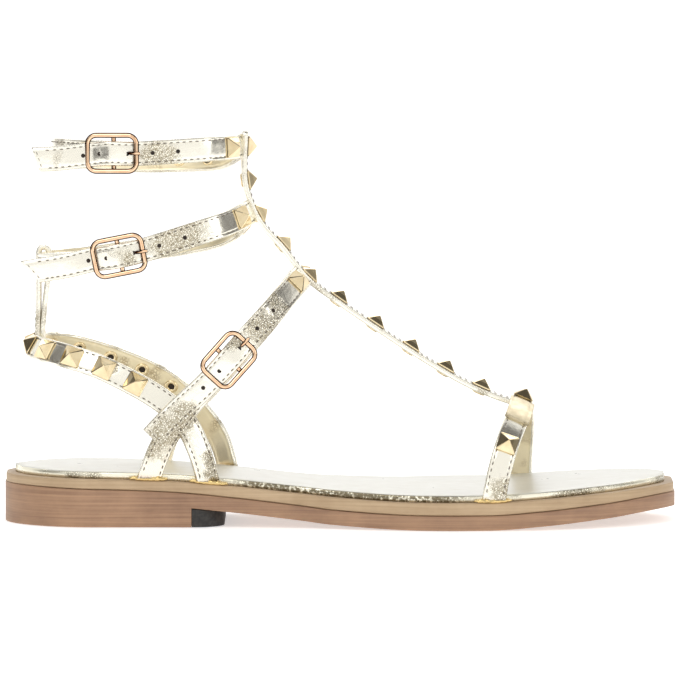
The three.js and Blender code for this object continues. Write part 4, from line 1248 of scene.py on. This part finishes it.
@dataclass
class Hardware:
    """Studs, rivet backs, toe plate and buckles."""

    finishes: Finishes
    upper: Upper
    side: float = 7.4
    rise: float = 2.7
    bevel: float = 0.6
    pitch: float = 12.5
    heel_pitch: float = 12.9
    bar_studs: tuple = (0.035, 0.118, 0.207, 0.302, 0.402, 0.493, 0.6, 0.703, 0.802, 0.9)
    toe_studs: tuple = (("outer", 0.196), ("crest", 0.5), ("inner", 0.775))
    plate_middle: float = 0.36
    plate_length: float = 20.0
    plate_thickness: float = 0.8
    lip_wire: float = 0.42
    lip_rise: float = 0.45
    pin_radius: float = 0.5
    pin_inset: float = 1.5
    stud_rise: float = 0.12
    bore_radius: float = 1.15
    bore_depth: float = 0.22
    wire: float = 1.9
    prong_wire: float = 1.2
    buckle_length: float = 20.3
    buckle_height: float = 15.2
    buckle_corner: float = 4.2
    frame_front: float = 2.3
    frame_back: float = 4.3
    centre_bar: float = 1.05
    prong_reach: float = 5.8

    def stud_shape(self) -> Mesh:
        """Square pyramid on an upright edge, its ridges and foot softened.

        Returns:
            Vertices and quads: rings of eight points whose corners are cut by a small share.
        """
        half = self.side / 2
        levels = [(half - 0.25, 0.0, 0.5), (half, 0.18, 0.5), (half, self.bevel - 0.1, 0.42)]
        levels += [(half - 0.22, self.bevel + 0.06, 0.36), (half * 0.5, self.bevel + self.rise * 0.52, 0.24)]
        levels += [(0.34, self.bevel + self.rise * 0.96, 0.2), (0.12, self.bevel + self.rise, 0.08)]
        rings = []
        for size, z, cut in levels:
            cut = min(cut, size * 0.5)
            a, b = size, size - cut
            ring = [(a, -b), (a, b), (b, a), (-b, a), (-a, b), (-a, -b), (-b, -a), (b, -a)]
            rings.append([(x, y, z) for x, y in ring])
        verts = np.array(rings).reshape(-1, 3)
        top = (len(levels) - 1) * 8
        faces = grid_faces(len(levels), 8).tolist()
        faces += [[0, k + 2, k + 1, k] for k in (1, 3, 5)]
        faces += [[top, top + k, top + k + 1, top + k + 2] for k in (1, 3, 5)]
        return verts, np.array(faces)

    def places(self) -> dict[str, tuple[str, float]]:
        """Strap and length of each stud, by node name."""
        straps = self.upper.straps
        bar = straps["front_bar"].line.lengths[-1]
        spots = {f"stud_bar_{i + 1}": ("front_bar", s * bar) for i, s in enumerate(self.bar_studs)}
        back = straps["heel"].line.length_at_end(-1)
        for side, way, count in (("outer", -1, 5), ("inner", 1, 6)):
            for i in range(count):
                spots[f"stud_heel_{side}_{i + 1}"] = ("heel", back + way * self.heel_pitch * (i + 0.5))
        beside = BAR_WIDTH / 2 + self.side / 2 + 2
        spots.update({f"stud_top_inner_{i + 1}": ("top_loop", beside + self.pitch * i) for i in range(3)})
        for node, name in (("top_outer", "top_tongue"), ("middle_inner", "middle_loop"),
                           ("middle_outer", "middle_tongue")):
            spots[f"stud_{node}"] = (name, beside)
        crest = straps["instep"].line.length_at_end(1)
        spots["stud_instep_inner"] = ("instep", crest - beside)
        spots["stud_instep_outer"] = ("instep", crest + beside)
        toe = straps["toe"].line.lengths[-1]
        spots.update({f"stud_toe_{name}": ("toe", share * toe) for name, share in self.toe_studs})
        return spots

    def studs(self) -> None:
        """All studs as one piece, and a tubular rivet on the inside under each."""
        verts, faces = self.stud_shape()
        rivet = self.rivet_shape()
        parts, backs, bores = [], [], []
        bore = disc(self.bore_radius)
        spots = self.places()
        for name, length in spots.values():
            strap = self.upper.straps[name]
            station = strap.line.at(np.array([length]))
            parts.append(copies(verts, faces, station, strap.thickness / 2 + self.stud_rise))
            backs.append(copies(*rivet, station, -strap.thickness / 2))
            depth = strap.thickness / 2 + self.bore_depth
            bores.append(copies(bore[0] * [1, 1, -1], bore[1], station, -depth))
        piece = make_object("studs", *merge(parts), self.finishes.stud, "stud_metal", smooth=False)
        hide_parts(*spots)
        make_object("rivet_backs", *merge(backs), self.finishes.stud, "stud_metal")
        # The bores are dark discs of painted shade inside the rivets
        make_object("rivet_bores", *merge(bores), self.finishes.hole, "stud_metal")

    def rivet_shape(self) -> Mesh:
        """Tubular rivet back: a ring of half-round section round a shallow hole, facing inwards."""
        return turned(((2.6, 0.1), (2.6, -0.3), (2.2, -0.62), (1.6, -0.6), (1.2, -0.35), (1.1, 0.1)), 16)

    def plate(self) -> None:
        """Bare plate on the toe strap: a thin band over a short stretch, with a round lip and a small pin."""
        strap = self.upper.straps["toe"]
        middle = self.plate_middle * strap.line.lengths[-1]
        line = strap.line.at(middle + np.linspace(-0.5, 0.5, 25) * self.plate_length)
        line.point = line.point + line.out * (strap.thickness / 2 + self.lip_wire)
        cover = Strap("plate", line, self.finishes, BAR_WIDTH + 0.5, self.plate_thickness)
        rings = cover.surface()
        foot = line.at(np.array([0.5]))
        ends = [foot.point + foot.across * (BAR_WIDTH / 2) * way for way in (-1.0, 1.0)]
        lip = self.tube(np.linspace(ends[0][0], ends[1][0], 12) + foot.out * self.lip_rise, self.lip_wire, False)
        pin = foot.at(np.array([0.0]))
        pin.point = pin.point + pin.across * (BAR_WIDTH / 2 - self.pin_inset)
        dot = copies(*disc(self.pin_radius), pin, 0.5)
        make_object("toe_plate_pin", *dot, self.finishes.hole, "stud_metal")
        piece = make_object("toe_plate_cover", *merge([rings, lip]), self.finishes.plate, "stud_metal")
        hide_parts("toe_plate")

    def tube(self, places: Array, radius: float, closed: bool, sides: int = 16) -> Mesh:
        """Round wire along places: rings square to the path, set by a guide direction.

        The guide is Y for a path in one XZ plane, Z for any other closed one and X for any other open one.

        Args:
            places: Middle line of the wire.
            radius: Half its thickness.
            closed: Whether it runs back to its start.
            sides: Sides of the wire.

        Returns:
            Vertices and faces of the closed wire.
        """
        if closed:
            tangent = np.roll(places, -1, axis=0) - np.roll(places, 1, axis=0)
        else:
            tangent = np.gradient(places, axis=0)
        tangent = unit(tangent)
        flat = np.ptp(places[:, 1]) < 1e-6
        guide = (0.0, 1.0, 0.0) if flat else (0.0, 0.0, 1.0) if closed else (1.0, 0.0, 0.0)
        first = unit(np.cross(tangent, guide))
        second = np.cross(tangent, first)
        turn = np.arange(sides) * 2 * np.pi / sides
        cos, sin = (radius * values[None, :, None] for values in (np.cos(turn), np.sin(turn)))
        return loft(places[:, None] + cos * first[:, None] + sin * second[:, None], closed)

    def frame_path(self) -> Array:
        """Rounded rectangle of the buckle's frame: four quarter circles joined by straight sides."""
        turn = np.linspace(0, np.pi / 2, 9)
        reach = self.buckle_corner - self.wire / 2
        places = []
        for quarter, (sx, sy) in enumerate(((1, 1), (-1, 1), (-1, -1), (1, -1))):
            angle = turn + quarter * np.pi / 2
            x = sx * (self.buckle_length / 2 - self.buckle_corner) + reach * np.cos(angle)
            y = sy * (self.buckle_height / 2 - self.buckle_corner) + reach * np.sin(angle)
            places.append(np.column_stack([x, y, np.zeros_like(x)]))
        return np.vstack(places)

    def buckle(self, name: str, strap: Strap, length: float) -> None:
        """One buckle: frame with its cranked centre bar, and the prong.

        Args:
            name: Which strap it belongs to.
            strap: The strap that runs through it.
            length: Length along that strap at the centre bar.
        """
        tilt = math.asin((self.frame_back - self.frame_front) / (self.buckle_length - self.wire))
        path = self.frame_path()
        lean = np.array([[math.cos(tilt), 0, 0], [0, 1, 0], [math.sin(tilt), 0, 0]])
        middle = (self.frame_front + self.frame_back) / 2
        ring = path @ lean.T + [0, 0, middle]
        side = self.buckle_height / 2 - self.wire / 2
        bar = np.array([
            [0, -side, middle], [0, -side + 0.25, self.centre_bar + 0.5], [0, -side + 1, self.centre_bar],
            [0, side - 1, self.centre_bar], [0, side - 0.25, self.centre_bar + 0.5], [0, side, middle],
        ])
        bar = catmull(bar, np.linspace(0, 1, 40))[0]
        under = self.centre_bar - self.wire / 2 - GAP - self.prong_wire / 2
        over = self.frame_front + self.wire / 2 + GAP * 0.5 + self.prong_wire / 2
        front = -(self.buckle_length - self.wire) / 2
        prong = np.array([
            [0.6, 0, under], [-2, 0, under], [-self.prong_reach + 1.7, 0, under + 0.7],
            [-self.prong_reach, 0, 1.4], [front + 1.9, 0, over - 0.8], [front, 0, over],
            [front - 1.8, 0, over - 0.3],
        ])
        prong = catmull(prong, np.linspace(0, 1, 40))[0]
        station = strap.line.at(np.array([length]))
        station.point = station.point - station.out * 1.6 * STRAP_THICKNESS
        frame_mesh = merge([self.tube(ring, self.wire / 2, True), self.tube(bar, self.wire * 0.46, False)])
        for label, (verts, faces), node in (
            ("frame", frame_mesh, f"buckle_{name}"),
            ("prong", self.tube(prong, self.prong_wire / 2, False), f"prong_{name}"),
        ):
            placed, _ = copies(verts, np.array([[0, 1, 2]]), station)
            piece = make_object(f"{name}_buckle_{label}", placed, faces, self.finishes.buckle, "buckle_metal")
            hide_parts(node)

    def build(self) -> None:
        """Builds studs, plate and the three buckles."""
        self.studs()
        self.plate()
        for name, (key, along, low, _) in BUCKLED.items():
            strap = self.upper.straps[key]
            self.buckle(name, strap, strap.line.length_at(along, low))
        LOG.info("hardware built")


@dataclass
class Studio:
    """Pale floor, soft lights and the camera."""

    distance: float = 3.0
    elevation: float = 4.35
    azimuth: float = 0.0
    target: tuple[float, float, float] = (0.0, 0.0, 0.0672)
    frame_width: float = 0.254
    lit: tuple[float, float, float] = (0.0, 0.0, 0.07)
    band_axis: tuple[float, float, float] = (0.0, -0.997, 0.076)
    card_axis: tuple[float, float, float] = (-0.602, -0.795, -0.07)
    card_rim: tuple[float, float] = (0.955, 0.98)
    card_light: float = 0.03
    band_middle: float = 0.6
    band_waver: float = 0.9
    band_rim: tuple[float, float] = (0.22, 0.37)
    band_light: float = 0.09
    shadow: Colour = (0.02, 0.016, 0.012)
    strength: float = 0.95
    paper: tuple[float, ...] = (5.0, 1.1, 3.0, 1.2, 1.4)
    sensor: float = 36.0

    def camera(self) -> None:
        """Camera whose frame is as wide at the shoe as the picture, looking along +Y and a little down."""
        data = bpy.data.cameras.new("camera")
        data.sensor_width = self.sensor
        data.lens = self.sensor * self.distance / self.frame_width
        data.clip_start = 0.05
        tilt, turn = math.radians(self.elevation), math.radians(self.azimuth)
        away = Vector((math.sin(turn) * math.cos(tilt), -math.cos(turn) * math.cos(tilt), math.sin(tilt)))
        target = Vector(self.target)
        bpy.context.scene.camera = self.aim("camera", data, target + away * self.distance, target)

    def aim(self, name: str, data: bpy.types.ID, place: Vector, target: Vector) -> bpy.types.Object:
        """Puts a camera or light at a place, turned to a target."""
        obj = place_object(name, data)
        turn = (target - place).to_track_quat("-Z", "Y").to_matrix().to_4x4()
        obj.matrix_world = Matrix.Translation(place) @ turn
        return obj

    def light(self, name: str, place: tuple, size: tuple[float, float], power: float) -> None:
        """Rectangular soft light that faces the shoe.

        Args:
            name: Name of the light.
            place: Its place in metres.
            size: Its two sides in metres.
            power: Watts.
        """
        data = bpy.data.lights.new(name, "AREA")
        data.shape = "RECTANGLE"
        data.size, data.size_y = size
        data.energy = power
        self.aim(name, data, Vector(place), Vector(self.lit))

    def world(self) -> None:
        """White cloth with a dark band round the shoe and one dark card before its ankle.

        The band lies where the cosine to the camera's axis, plus a little noise, is near a set value. The
        camera itself sees plain white.
        """
        world = bpy.data.worlds.new("studio")
        world.use_nodes = True
        nodes = Nodes(world.node_tree)
        place = nodes.add("ShaderNodeTexCoord").outputs["Generated"]
        facing = nodes.vector("DOT_PRODUCT", place, self.band_axis)
        waver = nodes.math("MULTIPLY_ADD", nodes.noise(place, 3.1, 2.0), self.band_waver, facing)
        band = nodes.math("ABSOLUTE", nodes.math("SUBTRACT", waver, self.band_middle))
        cloth = nodes.remap(band, *self.band_rim, self.band_light)
        near = nodes.vector("DOT_PRODUCT", place, self.card_axis)
        card = nodes.remap(near, *self.card_rim, 1.0, self.card_light)
        colour = nodes.ramp(nodes.math("MULTIPLY", cloth, card), self.shadow, (1.0, 1.0, 1.0))
        seen = nodes.add("ShaderNodeLightPath").outputs["Is Camera Ray"]
        background = world.node_tree.nodes["Background"]
        nodes.feed(background.inputs["Color"], nodes.mix(seen, colour, (1.0, 1.0, 1.0)))
        nodes.feed(background.inputs["Strength"], self.strength)
        bpy.context.scene.world = world
        bpy.context.scene.view_settings.view_transform = "Standard"

    def floor(self) -> None:
        """White paper sweep: level under the shoe, then a quarter circle up behind it.

        Its sizes are half its width, its reach before and behind the shoe, its radius and its height.
        """
        half, front, reach, radius, rise = self.paper
        turn = np.linspace(0, np.pi / 2, 24)
        y = np.concatenate([[-front, -0.5, 0.0, 1.0], reach + radius * np.sin(turn), [reach + radius]])
        z = np.concatenate([np.zeros(4), radius * (1 - np.cos(turn)), [rise]]) - 0.0002
        left = np.column_stack([np.full_like(y, -half), y, z])
        verts = np.vstack([left, left * [-1, 1, 1]])
        n = len(y)
        faces = [(i + n, i + n + 1, i + 1, i) for i in range(n - 1)]
        mesh = bpy.data.meshes.new("paper_sweep")
        mesh.from_pydata(verts.tolist(), [], faces)
        mesh.polygons.foreach_set("use_smooth", np.full(len(faces), True))
        obj = place_object("paper_sweep", mesh)
        mesh.materials.append(Paper("white_paper", (0.9, 0.9, 0.9), (1.0, 1.0, 1.0), 0.9).make())

    def build(self) -> None:
        """Sets up the studio."""
        self.camera()
        self.world()
        self.floor()
        self.light("key", (-0.5, -0.9, 1.3), (0.9, 0.9), 5.0)
        self.light("fill", (1.1, -0.7, 0.7), (0.5, 1.0), 3.0)
        self.light("back", (0.2, 1.2, 1.0), (1.4, 0.6), 5.0)
        LOG.info("studio built")


def main() -> None:
    """Builds studio, sole, upper and hardware in order."""
    logging.basicConfig(level=logging.INFO, format="%(name)s: %(message)s")
    Studio().build()
    finishes = Finishes()
    Sole(finishes).build()
    upper = Upper(finishes)
    upper.build()
    Hardware(finishes, upper).build()


if __name__ == "__main__":
    main()
